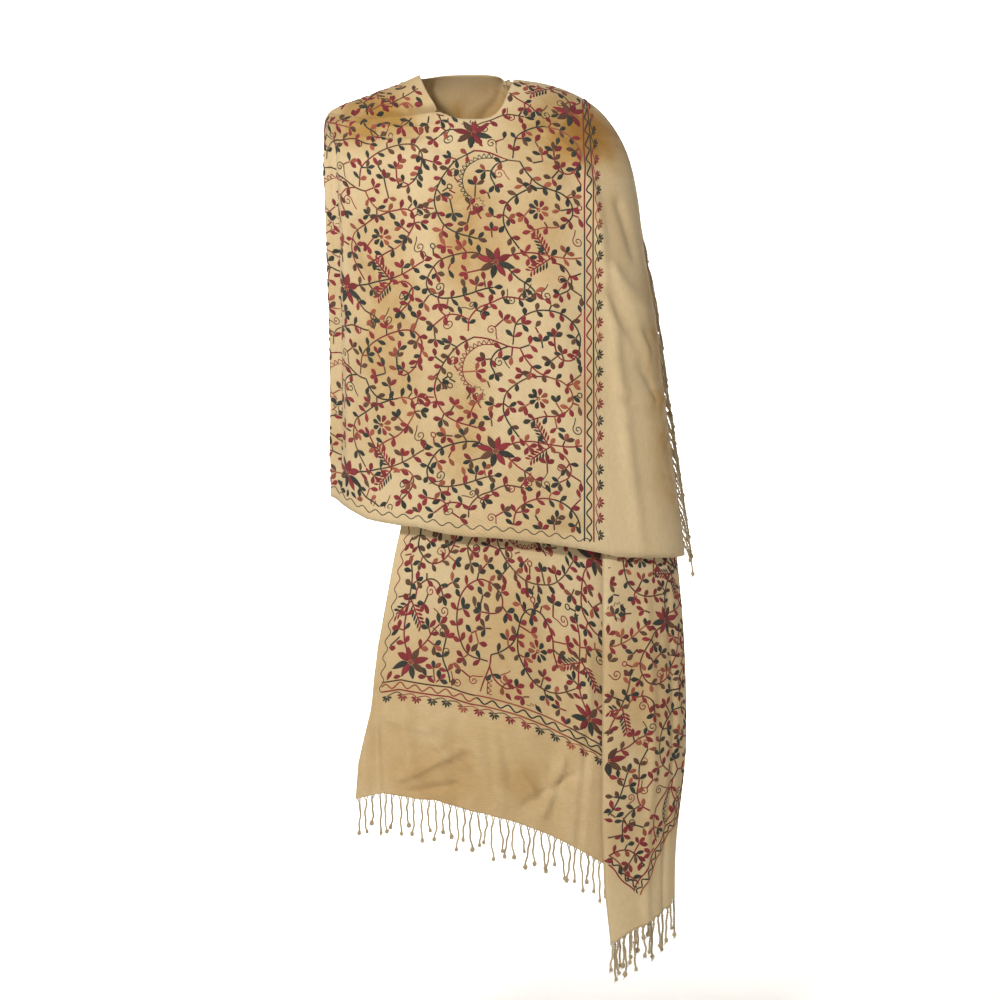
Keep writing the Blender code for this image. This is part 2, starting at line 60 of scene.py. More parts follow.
PER_DEGREE = 0.0042  # metres round the form for a degree, for measuring folds
PER_ROW = 0.056  # metres down the form for a row
CLOTH_WIDTH = 0.70
INNER_TURN = 0.012  # how far the inner turn lies under the outer one at the neck
INNER_SPARE = 0.012  # and how much farther lower down
PLEAT_LAYER = 0.0068  # from one layer of the pleat to the next
PLEAT_LAYER_TOP = 0.0044  # and over the shoulder
FRINGE_STRANDS = 67
FRINGE_LENGTH = 0.056
HANGING_LENGTH = 0.44  # of the hanging end under the wrap's hem, about
ROLL_RADIUS = 0.0035  # of the turn at the front wrap's upper edge
ROLL_FLAP = 0.009  # cloth behind that turn
ROLL_SHARE = 0.03  # of the front wrap's width that is in the roll
BORDER_X = 0.153  # X of the front's end border
HEM_ROW = 11.0
SHOULDER_ROW = 4.0
RING_STEP = 0.15  # from one ring to the next under the wrap's hem

# ---------------------------------------------------------------- the form, as in the solids
SECTION_COLUMNS = "left left_z right right_z front front_z back back_z square"
Section = namedtuple("Section", SECTION_COLUMNS)
SECTIONS = [
    Section(0.080, 0.050, 0.053, 0.044, 0.078, -0.018, 0.078, 0.062, 3.4),  # 0 neck rim
    Section(0.114, 0.036, 0.100, 0.038, 0.088, -0.034, 0.100, 0.040, 2.5),
    Section(0.152, 0.022, 0.142, 0.024, 0.097, -0.056, 0.112, 0.012, 2.1),
    Section(0.189, 0.009, 0.176, 0.002, 0.105, -0.082, 0.120, -0.025, 2.1),
    Section(0.212, -0.005, 0.203, -0.031, 0.111, -0.108, 0.126, -0.064, 2.2),  # 4 shoulder point
    Section(0.217, -0.040, 0.222, -0.073, 0.116, -0.142, 0.129, -0.110, 2.35),
    Section(0.214, -0.112, 0.234, -0.130, 0.121, -0.190, 0.129, -0.165, 2.45),
    Section(0.211, -0.200, 0.243, -0.205, 0.124, -0.262, 0.125, -0.235, 2.5),
    Section(0.208, -0.300, 0.260, -0.300, 0.125, -0.345, 0.119, -0.315, 2.5),
    Section(0.207, -0.395, 0.272, -0.405, 0.126, -0.435, 0.115, -0.400, 2.5),
    Section(0.208, -0.480, 0.287, -0.510, 0.128, -0.523, 0.113, -0.485, 2.5),
    Section(0.210, -0.548, 0.305, -0.638, 0.130, -0.606, 0.112, -0.570, 2.5),  # 11 hem of the wrap
    Section(0.235, -0.735, 0.317, -0.770, 0.133, -0.770, 0.114, -0.735, 2.5),
    Section(0.258, -0.905, 0.320, -0.920, 0.134, -0.920, 0.116, -0.905, 2.5),
    Section(0.268, -1.065, 0.306, -1.070, 0.132, -1.070, 0.117, -1.065, 2.5),
    Section(0.272, -1.220, 0.306, -1.220, 0.128, -1.220, 0.118, -1.220, 2.5),
]

# ---------------------------------------------------------------- edges of the stretches
Edge = namedtuple("Edge", "at value")
# Row of the front wrap's upper edge, by angle: it rises from the left shoulder point to the neck.
WRAP_TOP = [
    Edge(180, 4.0), Edge(190, 3.85), Edge(201, 3.5), Edge(214, 2.7), Edge(226, 1.7), Edge(238, 0.7),
    Edge(246, 0.15), Edge(252, 0.0), Edge(420, 0.0),
]
# Row of the front wrap's hem, by angle.
WRAP_HEM = [
    Edge(180, 11.0), Edge(228, 11.0), Edge(252, 10.9), Edge(276, 11.0), Edge(306, 11.12), Edge(351, 11.0),
]
# Angle of the front wrap's fringed end, by row: behind the shoulder at the top, at the side lower down.
WRAP_END = [
    Edge(0, 400), Edge(2, 384), Edge(4, 373), Edge(6, 366.5), Edge(8, 360), Edge(9.5, 355.5), Edge(11, 351),
]
# Row of the back's upper edge: under the front wrap it starts a little below the neck rim.
BACK_TOP = [Edge(-12, 0.55), Edge(24, 0.45), Edge(37, 0.0), Edge(180, 0.0)]
# X of the hanging end's left selvedge, by row.
END_LEFT_X = [
    Edge(0.55, 0.040), Edge(2, 0.030), Edge(5, -0.010), Edge(8, -0.066), Edge(10, -0.100), Edge(11, -0.112),
    Edge(12, -0.146), Edge(12.6, -0.158), Edge(13.1, -0.176), Edge(13.6, -0.182), Edge(15, -0.180),
]
# X of the cascade's folded edge, by row: it leans in to the low corner of the hem.
END_FOLD_X = [
    Edge(0.55, 0.060), Edge(2, 0.100), Edge(4, 0.145), Edge(6, 0.171), Edge(8, 0.179), Edge(10, 0.183),
    Edge(13.6, 0.183), Edge(14.2, 0.187), Edge(14.7, 0.197), Edge(15, 0.200),
]
END_RIGHT_ANGLE = -12.0
# Height of the hanging end's hem, by place across it (0 is the left selvedge, 1 the right one).
END_HEM_Z = [
    Edge(0.0, -0.986), Edge(0.08, -0.974), Edge(0.19, -0.980), Edge(0.28, -1.008), Edge(0.37, -1.042),
    Edge(0.46, -1.078), Edge(0.56, -1.100), Edge(0.62, -1.112), Edge(0.69, -1.145), Edge(0.76, -1.180),
    Edge(0.81, -1.163), Edge(0.88, -1.150), Edge(0.94, -1.140), Edge(1.0, -1.128),
]
# Where across the hanging end its pleat folds: under behind the cascade, and back out at the cascade's edge.
PLEAT_UNDER, PLEAT_OUT = 0.62, 0.76
PLEAT_UNDER_ANGLE = -31.0
PLEAT_TURN = 0.036  # share of the width over which the cloth turns at each fold

# ---------------------------------------------------------------- the largest folds
Fold = namedtuple("Fold", "angle_a row_a angle_b row_b width height")
WRAP_FOLDS = [
    Fold(196, 5.0, 195, 11.2, 0.011, 0.0050),  # ridge down the left arm
    Fold(205, 5.2, 203, 10.6, 0.010, -0.0055),  # and the valley beside it
    Fold(198, 4.9, 248, 1.75, 0.007, -0.0042),  # tuck under the rolled edge
    Fold(196, 4.5, 250, 1.15, 0.006, 0.0034),
    Fold(312, 3.2, 316, 11.0, 0.014, 0.0042),  # soft ridge along the plain end
    Fold(318, 7.1, 336, 8.4, 0.010, 0.0038),  # creases that slant over the right arm
    Fold(315, 7.6, 338, 9.0, 0.009, -0.0038),
    Fold(316, 9.1, 344, 9.5, 0.009, 0.0036),
    Fold(250, 2.4, 292, 3.1, 0.020, -0.0040),  # cloth drawn from shoulder to shoulder
    Fold(228, 6.3, 262, 8.8, 0.024, 0.0034),
    Fold(256, 8.6, 270, 11.0, 0.022, -0.0032),
    Fold(288, 5.8, 296, 9.6, 0.024, 0.0030),
]
BACK_FOLDS = [
    Fold(150, 1.5, 118, 6.0, 0.018, 0.0060),
    Fold(132, 0.6, 96, 4.6, 0.015, -0.0060),
    Fold(52, 1.2, 84, 5.6, 0.018, 0.0060),
    Fold(68, 0.5, 100, 3.6, 0.013, 0.0045),
    Fold(140, 5.5, 146, 11.2, 0.020, 0.0080),
    Fold(122, 6.5, 124, 11.2, 0.016, -0.0070),
    Fold(100, 5.6, 98, 11.2, 0.022, 0.0085),
    Fold(74, 6.6, 72, 11.2, 0.016, -0.0070),
    Fold(52, 5.4, 50, 11.2, 0.018, 0.0075),
    Fold(28, 6.0, 27, 11.2, 0.014, -0.0050),
    Fold(165, 5.8, 166, 11.2, 0.012, -0.0045),
]
END_FOLDS = [
    Fold(222, 11.8, 224, 13.7, 0.010, 0.0050),  # at the left selvedge
    Fold(238, 12.4, 240, 13.7, 0.012, -0.0060),
    Fold(250, 12.6, 262, 14.0, 0.010, 0.0065),  # the two bright folds of the plain end
    Fold(266, 12.6, 268, 14.1, 0.009, -0.0055),
    Fold(274, 12.7, 273, 14.2, 0.009, 0.0055),
    Fold(284, 11.6, 287, 14.3, 0.014, -0.0045),
    Fold(296, 12.0, 294, 14.6, 0.009, 0.0050),
]
CASCADE_FOLDS = [
    Fold(318, 11.4, 322, 15.2, 0.010, 0.0040),
    Fold(332, 11.4, 334, 14.8, 0.010, -0.0035),
]


# ---------------------------------------------------------------- small helpers
def ease(value):
    """0 below 0, 1 above 1, and a smooth change between."""
    value = np.clip(value, 0.0, 1.0)
    return value * value * (3.0 - 2.0 * value)


def read_edge(table, at):
    """The value of an edge table at a place, along straight lines between its rows."""
    return np.interp(at, [edge.at for edge in table], [edge.value for edge in table])


def unit(vectors):
    return vectors / np.linalg.norm(vectors, axis=-1, keepdims=True)


def run_along(points):
    """Length travelled along a line at each of its points."""
    return np.concatenate([[0.0], np.cumsum(np.linalg.norm(np.diff(points, axis=0), axis=1))])


def spread(count, crowded):
    """Places from 0 to 1, with extra ones close round each crowded place."""
    even = np.linspace(0.0, 1.0, count)
    close = np.linspace(-0.018, 0.018, 7)
    extra = [place + step for place in crowded for step in close]
    kept = [place for place in even if all(abs(place - spot) > 0.026 for spot in crowded)]
    return np.array(sorted(kept + extra))


def row_at_height(height):
    """The row of a height under the wrap's hem, where the rings lie level."""
    return 12.0 + (-0.770 - height) / RING_STEP


# ---------------------------------------------------------------- the form and places on it
def section(row):
    """The ring at each row, on a smooth curve through the rings of the table."""
    table = np.array(SECTIONS)
    row = np.clip(row, 0.0, len(table) - 1.0)
    first = np.clip(np.floor(row).astype(int), 0, len(table) - 2)
    part = (row - first)[..., None]
    before = table[np.maximum(first - 1, 0)]
    here = table[first]
    after = table[first + 1]
    beyond = table[np.minimum(first + 2, len(table) - 1)]
    slope_here = (after - before) / 2.0
    slope_after = (beyond - here) / 2.0
    square, cube = part**2, part**3
    return (
        here * (2.0 * cube - 3.0 * square + 1.0)
        + slope_here * (cube - 2.0 * square + part)
        + after * (3.0 * square - 2.0 * cube)
        + slope_after * (cube - square)
    )


def form(angle, row):
    """Points of the form: rings between an ellipse and a rectangle, with a height on each of four sides."""
    angle, row = np.broadcast_arrays(np.asarray(angle, float), np.asarray(row, float))
    left, left_z, right, right_z, front, front_z, back, back_z, square = np.moveaxis(section(row), -1, 0)
    across, along = np.cos(np.radians(angle)), np.sin(np.radians(angle))
    power = 2.0 / square
    x = np.where(across > 0.0, right, -left) * np.abs(across) ** power
    y = np.where(along > 0.0, back, -front) * np.abs(along) ** power
    side_z = np.where(across > 0.0, right_z, left_z)
    face_z = np.where(along > 0.0, back_z, front_z)
    return np.stack([x, y, side_z * across**2 + face_z * along**2], axis=-1)


def outward(angle, row):
    """Unit vectors that point out of the form."""
    row = np.clip(row, 0.02, len(SECTIONS) - 1.02)
    round_it = form(angle + 0.4, row) - form(angle - 0.4, row)
    down_it = form(angle, row + 0.02) - form(angle, row - 0.02)
    return unit(np.cross(down_it, round_it))


def on_form(angle, row, offset):
    return form(angle, row) + outward(angle, row) * np.asarray(offset)[..., None]


def ridge(places, start, end, width):
    """A soft ridge 1 high round a line between two places."""
    run = np.asarray(end) - start
    length = np.hypot(*run)
    beside = places - start
    along = beside @ run / length**2
    aside = (beside[..., 0] * run[1] - beside[..., 1] * run[0]) / length
    ends = ease(along / 0.22 + 0.5) * ease((1.0 - along) / 0.22 + 0.5)
    return np.exp(-((aside / width) ** 2)) * ends


def fold_height(folds, angle, row):
    """How far the folds raise or sink the cloth: each is a soft ridge or trough round a line on the form."""
    places = np.stack(np.broadcast_arrays(angle * PER_DEGREE, row * PER_ROW), axis=-1)
    total = np.zeros(places.shape[:-1])
    for fold in folds:
        start = np.array([fold.angle_a * PER_DEGREE, fold.row_a * PER_ROW])
        end = np.array([fold.angle_b * PER_DEGREE, fold.row_b * PER_ROW])
        total += fold.height * ridge(places, start, end, fold.width)
    return total


def crease_height(creases, angle, row):
    """How far the creases raise or sink the front of the cloth."""
    seen = form(angle, row)
    total = np.zeros(seen.shape[:-1])
    for crease in creases:
        start, end = np.array([crease.x_a, crease.z_a]), np.array([crease.x_b, crease.z_b])
        total += crease.height * ridge(seen[..., [0, 2]], start, end, crease.width)
    return total * (seen[..., 1] < 0.02)


def degree_run(row):
    """Metres round the form for one degree: fewer near the neck, where the rings are small."""
    return PER_DEGREE * (0.28 + 0.72 * ease(row / SHOULDER_ROW))


def under_turn(row):
    """How far the inner turn lies under the outer one."""
    return -INNER_TURN - INNER_SPARE * ease((row - 3.0) / 4.0)


def pleat_layer(row):
    """From one layer of the pleat to the next: they lie closer over the shoulder."""
    return PLEAT_LAYER_TOP + (PLEAT_LAYER - PLEAT_LAYER_TOP) * ease((row - 3.0) / 4.0)


def angle_at(x, row):
    """The angle, on the front of the form, of a place with this X."""
    ring = section(row)
    left, right, square = ring[..., 0], ring[..., 2], ring[..., 8]
    share = np.where(x > 0.0, x / right, -x / left)
    turn = np.degrees(np.arccos(np.clip(share, 0.0, 1.0) ** (square / 2.0)))
    return np.where(x > 0.0, -turn, turn - 180.0)


def pleat_layers(across, row):
    """Angle and offset across the hanging end, which is folded in a Z-pleat from the shoulder to its hem.

    It runs on under the cascade, folds back to the cascade's edge, and folds out again to the right selvedge.
    """
    left_angle = angle_at(read_edge(END_LEFT_X, row), row)
    fold_angle = angle_at(read_edge(END_FOLD_X, row), row)
    under_angle = np.full(np.shape(row), PLEAT_UNDER_ANGLE)
    places = np.stack(
        [
            left_angle + (under_angle - left_angle) * across / PLEAT_UNDER,
            under_angle + (fold_angle - under_angle) * (across - PLEAT_UNDER) / (PLEAT_OUT - PLEAT_UNDER),
            fold_angle + (END_RIGHT_ANGLE - fold_angle) * (across - PLEAT_OUT) / (1.0 - PLEAT_OUT),
        ]
    )
    layer = (across > PLEAT_UNDER).astype(int) + (across > PLEAT_OUT).astype(int)
    angle = np.take_along_axis(places, layer[None], axis=0)[0]
    lift = sum(ease((across - turn) / PLEAT_TURN + 0.5) for turn in (PLEAT_UNDER, PLEAT_OUT))
    return angle, lift * pleat_layer(row)


# ---------------------------------------------------------------- the cloth as it shows
FINE_FOLDS = [  # shallow creases over the form's main folds, most of them across the front
    Fold(205, 5.0, 203, 10.8, 0.008, -0.0034),
    Fold(196, 5.0, 196, 10.8, 0.007, 0.0022),
    Fold(212, 5.2, 213, 10.4, 0.009, 0.0018),
    Fold(236, 1.7, 276, 2.0, 0.010, -0.0026),
    Fold(224, 2.4, 262, 2.9, 0.010, 0.0022),
    Fold(270, 4.6, 274, 9.4, 0.016, 0.0022),
    Fold(246, 5.6, 244, 9.8, 0.015, -0.0022),
    Fold(200, 5.6, 240, 4.6, 0.010, 0.0016),
    Fold(206, 6.6, 250, 6.0, 0.012, -0.0014),
    Fold(210, 7.5, 244, 8.4, 0.012, 0.0016),
    Fold(262, 1.6, 300, 2.4, 0.008, 0.0014),
    Fold(256, 3.6, 286, 4.4, 0.012, -0.0014),
    Fold(300, 2.0, 306, 5.0, 0.010, -0.0014),
    Fold(306, 1.4, 312, 4.2, 0.007, 0.0016),
    Fold(232, 8.6, 246, 10.9, 0.012, 0.0018),
    Fold(214, 8.8, 216, 11.0, 0.010, 0.0016),
    Fold(278, 8.0, 284, 11.0, 0.012, 0.0012),
    Fold(160, 2.6, 128, 3.4, 0.009, 0.0016),
    Fold(150, 4.2, 104, 3.2, 0.010, -0.0014),
    Fold(84, 2.2, 112, 4.4, 0.009, 0.0016),
    Fold(88, 7.4, 108, 8.6, 0.012, 0.0014),
    Fold(60, 7.0, 64, 11.0, 0.010, 0.0020),
    Fold(134, 8.0, 132, 11.0, 0.010, 0.0022),
    Fold(154, 7.4, 157, 11.0, 0.009, -0.0018),
]
Crease = namedtuple("Crease", "x_a z_a x_b z_b width height")
WRAP_CREASES = [  # on the plain end of the wrap, as seen from the front
    Crease(0.190, -0.225, 0.244, -0.292, 0.0075, 0.0057),
    Crease(0.182, -0.258, 0.250, -0.330, 0.0070, -0.0059),
    Crease(0.192, -0.300, 0.236, -0.352, 0.0060, 0.0046),
    Crease(0.200, -0.350, 0.262, -0.386, 0.0065, -0.0035),
    Crease(0.196, -0.396, 0.272, -0.416, 0.0060, 0.0049),
    Crease(0.200, -0.412, 0.266, -0.440, 0.0055, -0.0041),
    Crease(0.206, -0.470, 0.272, -0.486, 0.0070, 0.0035),
    Crease(0.212, -0.536, 0.276, -0.540, 0.0070, -0.0030),
    Crease(0.200, -0.130, 0.228, -0.214, 0.0080, -0.0046),
]
END_CREASES = [  # on the plain part of the hanging end, as seen from the front
    Crease(-0.112, -0.950, -0.018, -0.906, 0.0065, 0.0070),
    Crease(-0.096, -0.968, -0.026, -0.958, 0.0060, -0.0059),
    Crease(0.004, -0.872, 0.014, -0.986, 0.0065, 0.0076),
    Crease(-0.018, -0.906, 0.020, -0.982, 0.0060, -0.0068),
    Crease(-0.060, -0.898, -0.012, -0.936, 0.0060, 0.0054),
    Crease(0.128, -0.920, 0.098, -1.004, 0.0065, 0.0073),
    Crease(0.146, -0.944, 0.066, -0.990, 0.0060, -0.0062),
    Crease(0.062, -0.932, 0.090, -0.980, 0.0060, 0.0049),
    Crease(0.166, -0.866, 0.150, -1.060, 0.0070, -0.0068),
    Crease(0.036, -0.880, 0.052, -0.962, 0.0070, -0.0049),
    Crease(-0.150, -0.880, -0.142, -0.972, 0.0070, -0.0049),
    Crease(-0.140, -0.860, -0.060, -0.880, 0.0070, 0.0041),
]
SHOULDER_FOLDS = [
    Fold(186, 1.6, 226, 2.2, 0.008, 0.0020),
    Fold(192, 2.6, 232, 0.8, 0.007, -0.0018),
]


def relief(angle, row):
    """How far the folds raise the wound cloth, front and back, without a step at the left arm."""
    front = fold_height(WRAP_FOLDS, angle, row) * ease((angle - 170.0) / 10.0)
    back = fold_height(BACK_FOLDS, angle, row) * ease((190.0 - angle) / 10.0) * ease((angle - 6.0) / 16.0)
    plain = crease_height(WRAP_CREASES, angle, row) * ease((angle - 290.0) / 10.0)
    return front + back + plain + fold_height(FINE_FOLDS, angle, row) * ease((angle - 6.0) / 16.0)


def wrap_offset(angle, row):
    """Height over the bare form: the front wrap from the left arm on, and the back before it."""
    start = 88.0 - 26.0 * ease(1.0 - row / 1.2)
    covered = ease((start - angle) / 36.0)
    pleated = 2.0 * pleat_layer(row) * ease((20.0 - angle) / 26.0)
    under = np.where(angle < 180.0, under_turn(row) * covered + pleated, 0.0)
    return under + relief(angle, row)


def shoulder_offset(angle, row):
    """Height over the bare form where the cloth turns over the left shoulder and under the front wrap."""
    dip = ease((angle - 181.0) / 12.0)
    near = ease(1.0 - (read_edge(WRAP_TOP, angle) - row) / 1.1)
    tucked = (INNER_TURN + 0.0045) * near * dip
    folds = relief(angle, row) * ease((192.0 - angle) / 10.0)
    return folds + fold_height(SHOULDER_FOLDS, angle, row) - tucked


def front_cloth(across, down):
    """The front wrap with its rolled upper edge. down 0 is inside the roll, and 1 is the hem."""
    row = SHOULDER_ROW + (HEM_ROW - SHOULDER_ROW) * down
    for _ in range(3):
        angle = 180.0 + across * (read_edge(WRAP_END, row) - 180.0)
        top, hem = read_edge(WRAP_TOP, angle), read_edge(WRAP_HEM, angle)
        rolled = ease((angle - 184.0) / 16.0)
        run = np.linalg.norm(form(angle, top + 0.5) - form(angle, top), axis=-1) / 0.5
        run = run * rolled + PER_ROW * (1.0 - rolled)
        radius = ROLL_RADIUS * rolled
        roll = np.pi * radius + ROLL_FLAP * rolled
        travelled = down * (roll + (hem - top) * run - radius) - roll
        turn = np.clip(-travelled / np.maximum(radius, 1e-6), 0.0, np.pi)
        inside = np.maximum(-travelled - np.pi * radius, 0.0)
        below = radius * (1.0 - np.sin(turn)) + inside + np.maximum(travelled, 0.0)
        row = top + below / run
    inward = radius * (1.0 - np.cos(turn))
    return on_form(angle, row, wrap_offset(angle, row) - inward)


def shoulder_cloth(across, down):
    """The turn over the left shoulder. across runs from the shoulder's ridge to the neck's front corner."""
    angle = 180.0 + across * 60.0
    under = -0.06 * ease((angle - 180.0) / 3.0) + 0.9 * ease((angle - 188.0) / 12.0)
    row = down * (read_edge(WRAP_TOP, angle) + under)
    return on_form(angle, row, shoulder_offset(angle, row))


def back_cloth(across, down):
    """The cloth behind the neck and round both arms. across runs from the right front to the left arm."""
    angle = END_RIGHT_ANGLE + across * (180.0 - END_RIGHT_ANGLE)
    top = read_edge(BACK_TOP, angle)
    row = top + down * (HEM_ROW - top)
    return on_form(angle, row, wrap_offset(angle, row))


def end_hem_z(across):
    """Height of the hanging end's hem, straight from one column of the cloth to the next."""
    columns = end_columns()
    return np.interp(across, columns, read_edge(END_HEM_Z, columns))


def end_place(across, down):
    """Angle, row and height over the form of a place on the hanging end."""
    hem = row_at_height(end_hem_z(across))
    top = BACK_TOP[0].value
    row = top + np.minimum(down, 1.0) * (HEM_ROW - top) + np.maximum(down - 1.0, 0.0) * (hem - HEM_ROW)
    angle, lift = pleat_layers(across, row)
    shown = ease((row - HEM_ROW) / 0.6)
    outer = ease((across - PLEAT_OUT) / 0.03)
    inner = ease((PLEAT_UNDER - 0.16 - across) / 0.06)
    folds = (fold_height(END_FOLDS, angle + 360.0, row) + crease_height(END_CREASES, angle, row)) * inner
    folds = folds + fold_height(CASCADE_FOLDS, angle + 360.0, row) * outer
    return angle, row, under_turn(row) + lift + folds * shown


def end_cloth(across, down, lift=0.0):
    """The hanging end. across 0 is its left selvedge, down 1 the wrap's hem and down 2 its own hem."""
    angle, row, offset = end_place(across, down)
    return on_form(angle, row, offset + lift)


@functools.lru_cache(maxsize=1)
def end_columns():
    return tuple(spread(int(sizes().end_columns), (PLEAT_UNDER, PLEAT_OUT)))


def sizes():
    return bpy.context.scene.stole_sizes


def colours():
    return bpy.context.scene.stole_colours


# ---------------------------------------------------------------- meshes
def cloth_piece(name, mesh_data):
    """A piece of the twill with its thickness."""
    mesh = bpy.data.meshes.new(name)
    mesh_data.to_mesh(mesh)
    mesh_data.free()
    mesh.uv_layers[0].name = "weave"
    piece = piece_from(name, mesh, shared(wool_twill))
    wall = piece.modifiers.new("wall", "SOLIDIFY")
    wall.thickness = sizes().cloth_wall
    wall.offset = 0.0
    wall.use_even_offset = False
    return piece


def piece_from(name, mesh, material):
    mesh.shade_smooth()
    mesh.materials.append(material)
    piece = bpy.data.objects.new(name, mesh)
    bpy.context.scene.collection.objects.link(piece)
    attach(piece, "root")
    return piece


def lay_grid(mesh_data, stretch, across, down, start, width, height):
    """Adds one stretch of cloth: a flat grid laid on the form. Its UVs are the cloth's own lengths."""
    made = bmesh.ops.create_grid(mesh_data, x_segments=len(across) - 1, y_segments=len(down) - 1, size=0.5)
    flat = np.array([vert.co for vert in made["verts"]]) + 0.5
    column = np.rint(flat[:, 0] * (len(across) - 1)).astype(int)
    line = np.rint(flat[:, 1] * (len(down) - 1)).astype(int)
    across, down = np.array(across), np.array(down)
    placed = stretch(across[column], down[line])
    for vert, place in zip(made["verts"], placed):
        vert.co = place
    faces = {face for vert in made["verts"] for face in vert.link_faces}
    bmesh.ops.reverse_faces(mesh_data, faces=list(faces))
    uv_layer = mesh_data.loops.layers.uv.verify()
    lengths = np.stack([start + width * across[column], height * down[line]], axis=1)
    mesh_data.verts.index_update()
    place_of = {vert.index: number for number, vert in enumerate(made["verts"])}
    for face in faces:
        for loop in face.loops:
            loop[uv_layer].uv = lengths[place_of[loop.vert.index]]


def even_rows():
    """Rows from the neck to the hem, with about the same length of cloth between them."""
    middle, lower = np.linspace(SHOULDER_ROW, 7.0, 31), np.linspace(7.0, HEM_ROW, 71)
    return np.concatenate([np.linspace(0.0, SHOULDER_ROW, 25), middle[1:], lower[1:]])


# ---------------------------------------------------------------- measuring on the cloth
def read_grid(grid, step, start, first, second):
    """Values between the points of a grid, straight both ways."""
    over = np.clip((first - start[0]) / step, 0.0, grid.shape[0] - 1.001)
    up = np.clip((second - start[1]) / step, 0.0, grid.shape[1] - 1.001)
    i, j = over.astype(int), up.astype(int)
    part, rise = over - i, up - j
    low = grid[i, j] * (1.0 - part) + grid[i + 1, j] * part
    high = grid[i, j + 1] * (1.0 - part) + grid[i + 1, j + 1] * part
    return low * (1.0 - rise) + high * rise


def column_angle(reference, reference_x, row):
    """Angle of a plumb column of the cloth at each row. It keeps its X, except at the sides."""
    flat = 1.0 - ease((np.abs(reference_x) - 0.150) / 0.045)
    turned = angle_at(reference_x, row)
    plumb = np.where(reference > 180.0, turned % 360.0, -turned)
    plumb = np.where((reference <= 180.0) & (reference_x < 0.0), 180.0 - (turned + 180.0), plumb)
    flat = np.where((reference > 352.0) | (reference < 8.0), 0.0, flat)
    return reference + (plumb - reference) * flat


Chart = namedtuple("Chart", "along step start sweep sweep_x rows top neck")


@functools.lru_cache(maxsize=1)
def wrap_chart():
    """Lengths on the wound cloth: along it from the end border leftwards, and up from the hem."""
    sweep = np.linspace(400.0, 6.0, 1577)
    ring = form(sweep, 8.0)
    run = run_along(ring)
    front = (sweep < 358.0) & (sweep > 272.0)
    run = run - np.interp(-BORDER_X, -ring[front, 0], run[front])
    step, start = 0.005, (-0.25, 0.0)
    along = np.arange(start[0], 1.34, step)
    reference, reference_x = np.interp(along, run, sweep), np.interp(along, run, ring[:, 0])
    rows = np.linspace(0.0, 11.2, 225)
    angle = column_angle(reference[:, None], reference_x[:, None], rows[None])
    points = form(angle, rows[None])
    lengths = np.linalg.norm(np.diff(points, axis=1), axis=2)
    height = np.concatenate([np.cumsum(lengths[:, ::-1], axis=1)[:, ::-1], np.zeros((len(along), 1))], axis=1)
    hem = np.where(angle[:, -5] > 180.0, read_edge(WRAP_HEM, angle[:, -5]), HEM_ROW)
    ups = np.arange(0.0, 0.80, step)
    grid, tops, necks = [], [], []
    ring_now = section(rows)
    for number in range(len(along)):
        up = height[number] - np.interp(hem[number], rows, height[number])
        grid.append(np.interp(ups, up[::-1], rows[::-1]))
        reach = np.where(reference_x[number] > 0.0, ring_now[:, 2], ring_now[:, 0])
        on_ring = (np.abs(reference_x[number]) < reach * 0.992) | (np.abs(reference_x[number]) > 0.19)
        on_front = (angle[number] < 180.0) | (rows >= read_edge(WRAP_TOP, angle[number]))
        necks.append(up[last_gap(on_ring)])
        tops.append(up[last_gap(on_ring & on_front)])
    return Chart(along, step, start, reference, reference_x, np.array(grid), np.array(tops), np.array(necks))


def last_gap(allowed):
    """The lowest place of a column from which everything below is allowed."""
    blocked = np.nonzero(~allowed)[0]
    return 0 if len(blocked) == 0 else min(blocked[-1] + 1, len(allowed) - 1)


def wrap_place(along, up):
    """Angle and row of a place on the wound cloth. Past the end border it is measured round the ring."""
    chart = wrap_chart()
    field = np.maximum(along, 0.0)
    row = read_grid(chart.rows, chart.step, chart.start, field, up)
    reference = np.interp(field, chart.along, chart.sweep)
    reference_x = np.interp(field, chart.along, chart.sweep_x)
    angle = column_angle(reference, reference_x, row)
    per_degree = np.linalg.norm(form(angle + 3.0, row) - form(angle, row), axis=-1) / 3.0
    return angle + (field - along) / np.maximum(per_degree, 0.0008), row


def lay_on_wrap(along, up, lift):
    """Points over the wound cloth, also where it turns over the left shoulder."""
    angle, row = wrap_place(along, up)
    on_shoulder = (angle > 180.0) & (angle < 252.0) & (row < read_edge(WRAP_TOP, angle) - 0.05)
    offset = np.where(on_shoulder, shoulder_offset(angle, row), wrap_offset(angle, row))
    return on_form(angle, row, offset + lift)


EndChart = namedtuple("EndChart", "across fold")
CHART_ROW, CHART_ROW_STEP, CHART_STEP = 10.0, 0.2, 0.0035  # first row, and the chart's steps down and across


@functools.lru_cache(maxsize=1)
def end_chart():
    """By row of the hanging end: places across it at even lengths of cloth, and the length to its fold."""
    across = np.linspace(0.0, 1.0, 1401)
    over = np.arange(0.0, CLOTH_WIDTH + CHART_STEP, CHART_STEP)
    lines, folds = [], []
    for row in np.arange(CHART_ROW, 15.7, CHART_ROW_STEP):
        angle = pleat_layers(across, np.full(len(across), row))[0]
        flat = form(angle, np.full(len(across), row))[:, :2]
        run = run_along(flat)
        run = run * CLOTH_WIDTH / run[-1]
        lines.append(np.interp(over, run, across))
        folds.append(np.interp(PLEAT_OUT, across, run))
    return EndChart(np.array(lines), np.array(folds))


def end_across(over, row):
    chart = end_chart()
    return read_grid(chart.across, 1.0, (0.0, 0.0), (row - CHART_ROW) / CHART_ROW_STEP, over / CHART_STEP)


def fold_over(row):
    """Length of cloth from the left selvedge to the cascade's fold."""
    folds = end_chart().fold
    return np.interp((row - CHART_ROW) / CHART_ROW_STEP, np.arange(len(folds)), folds)


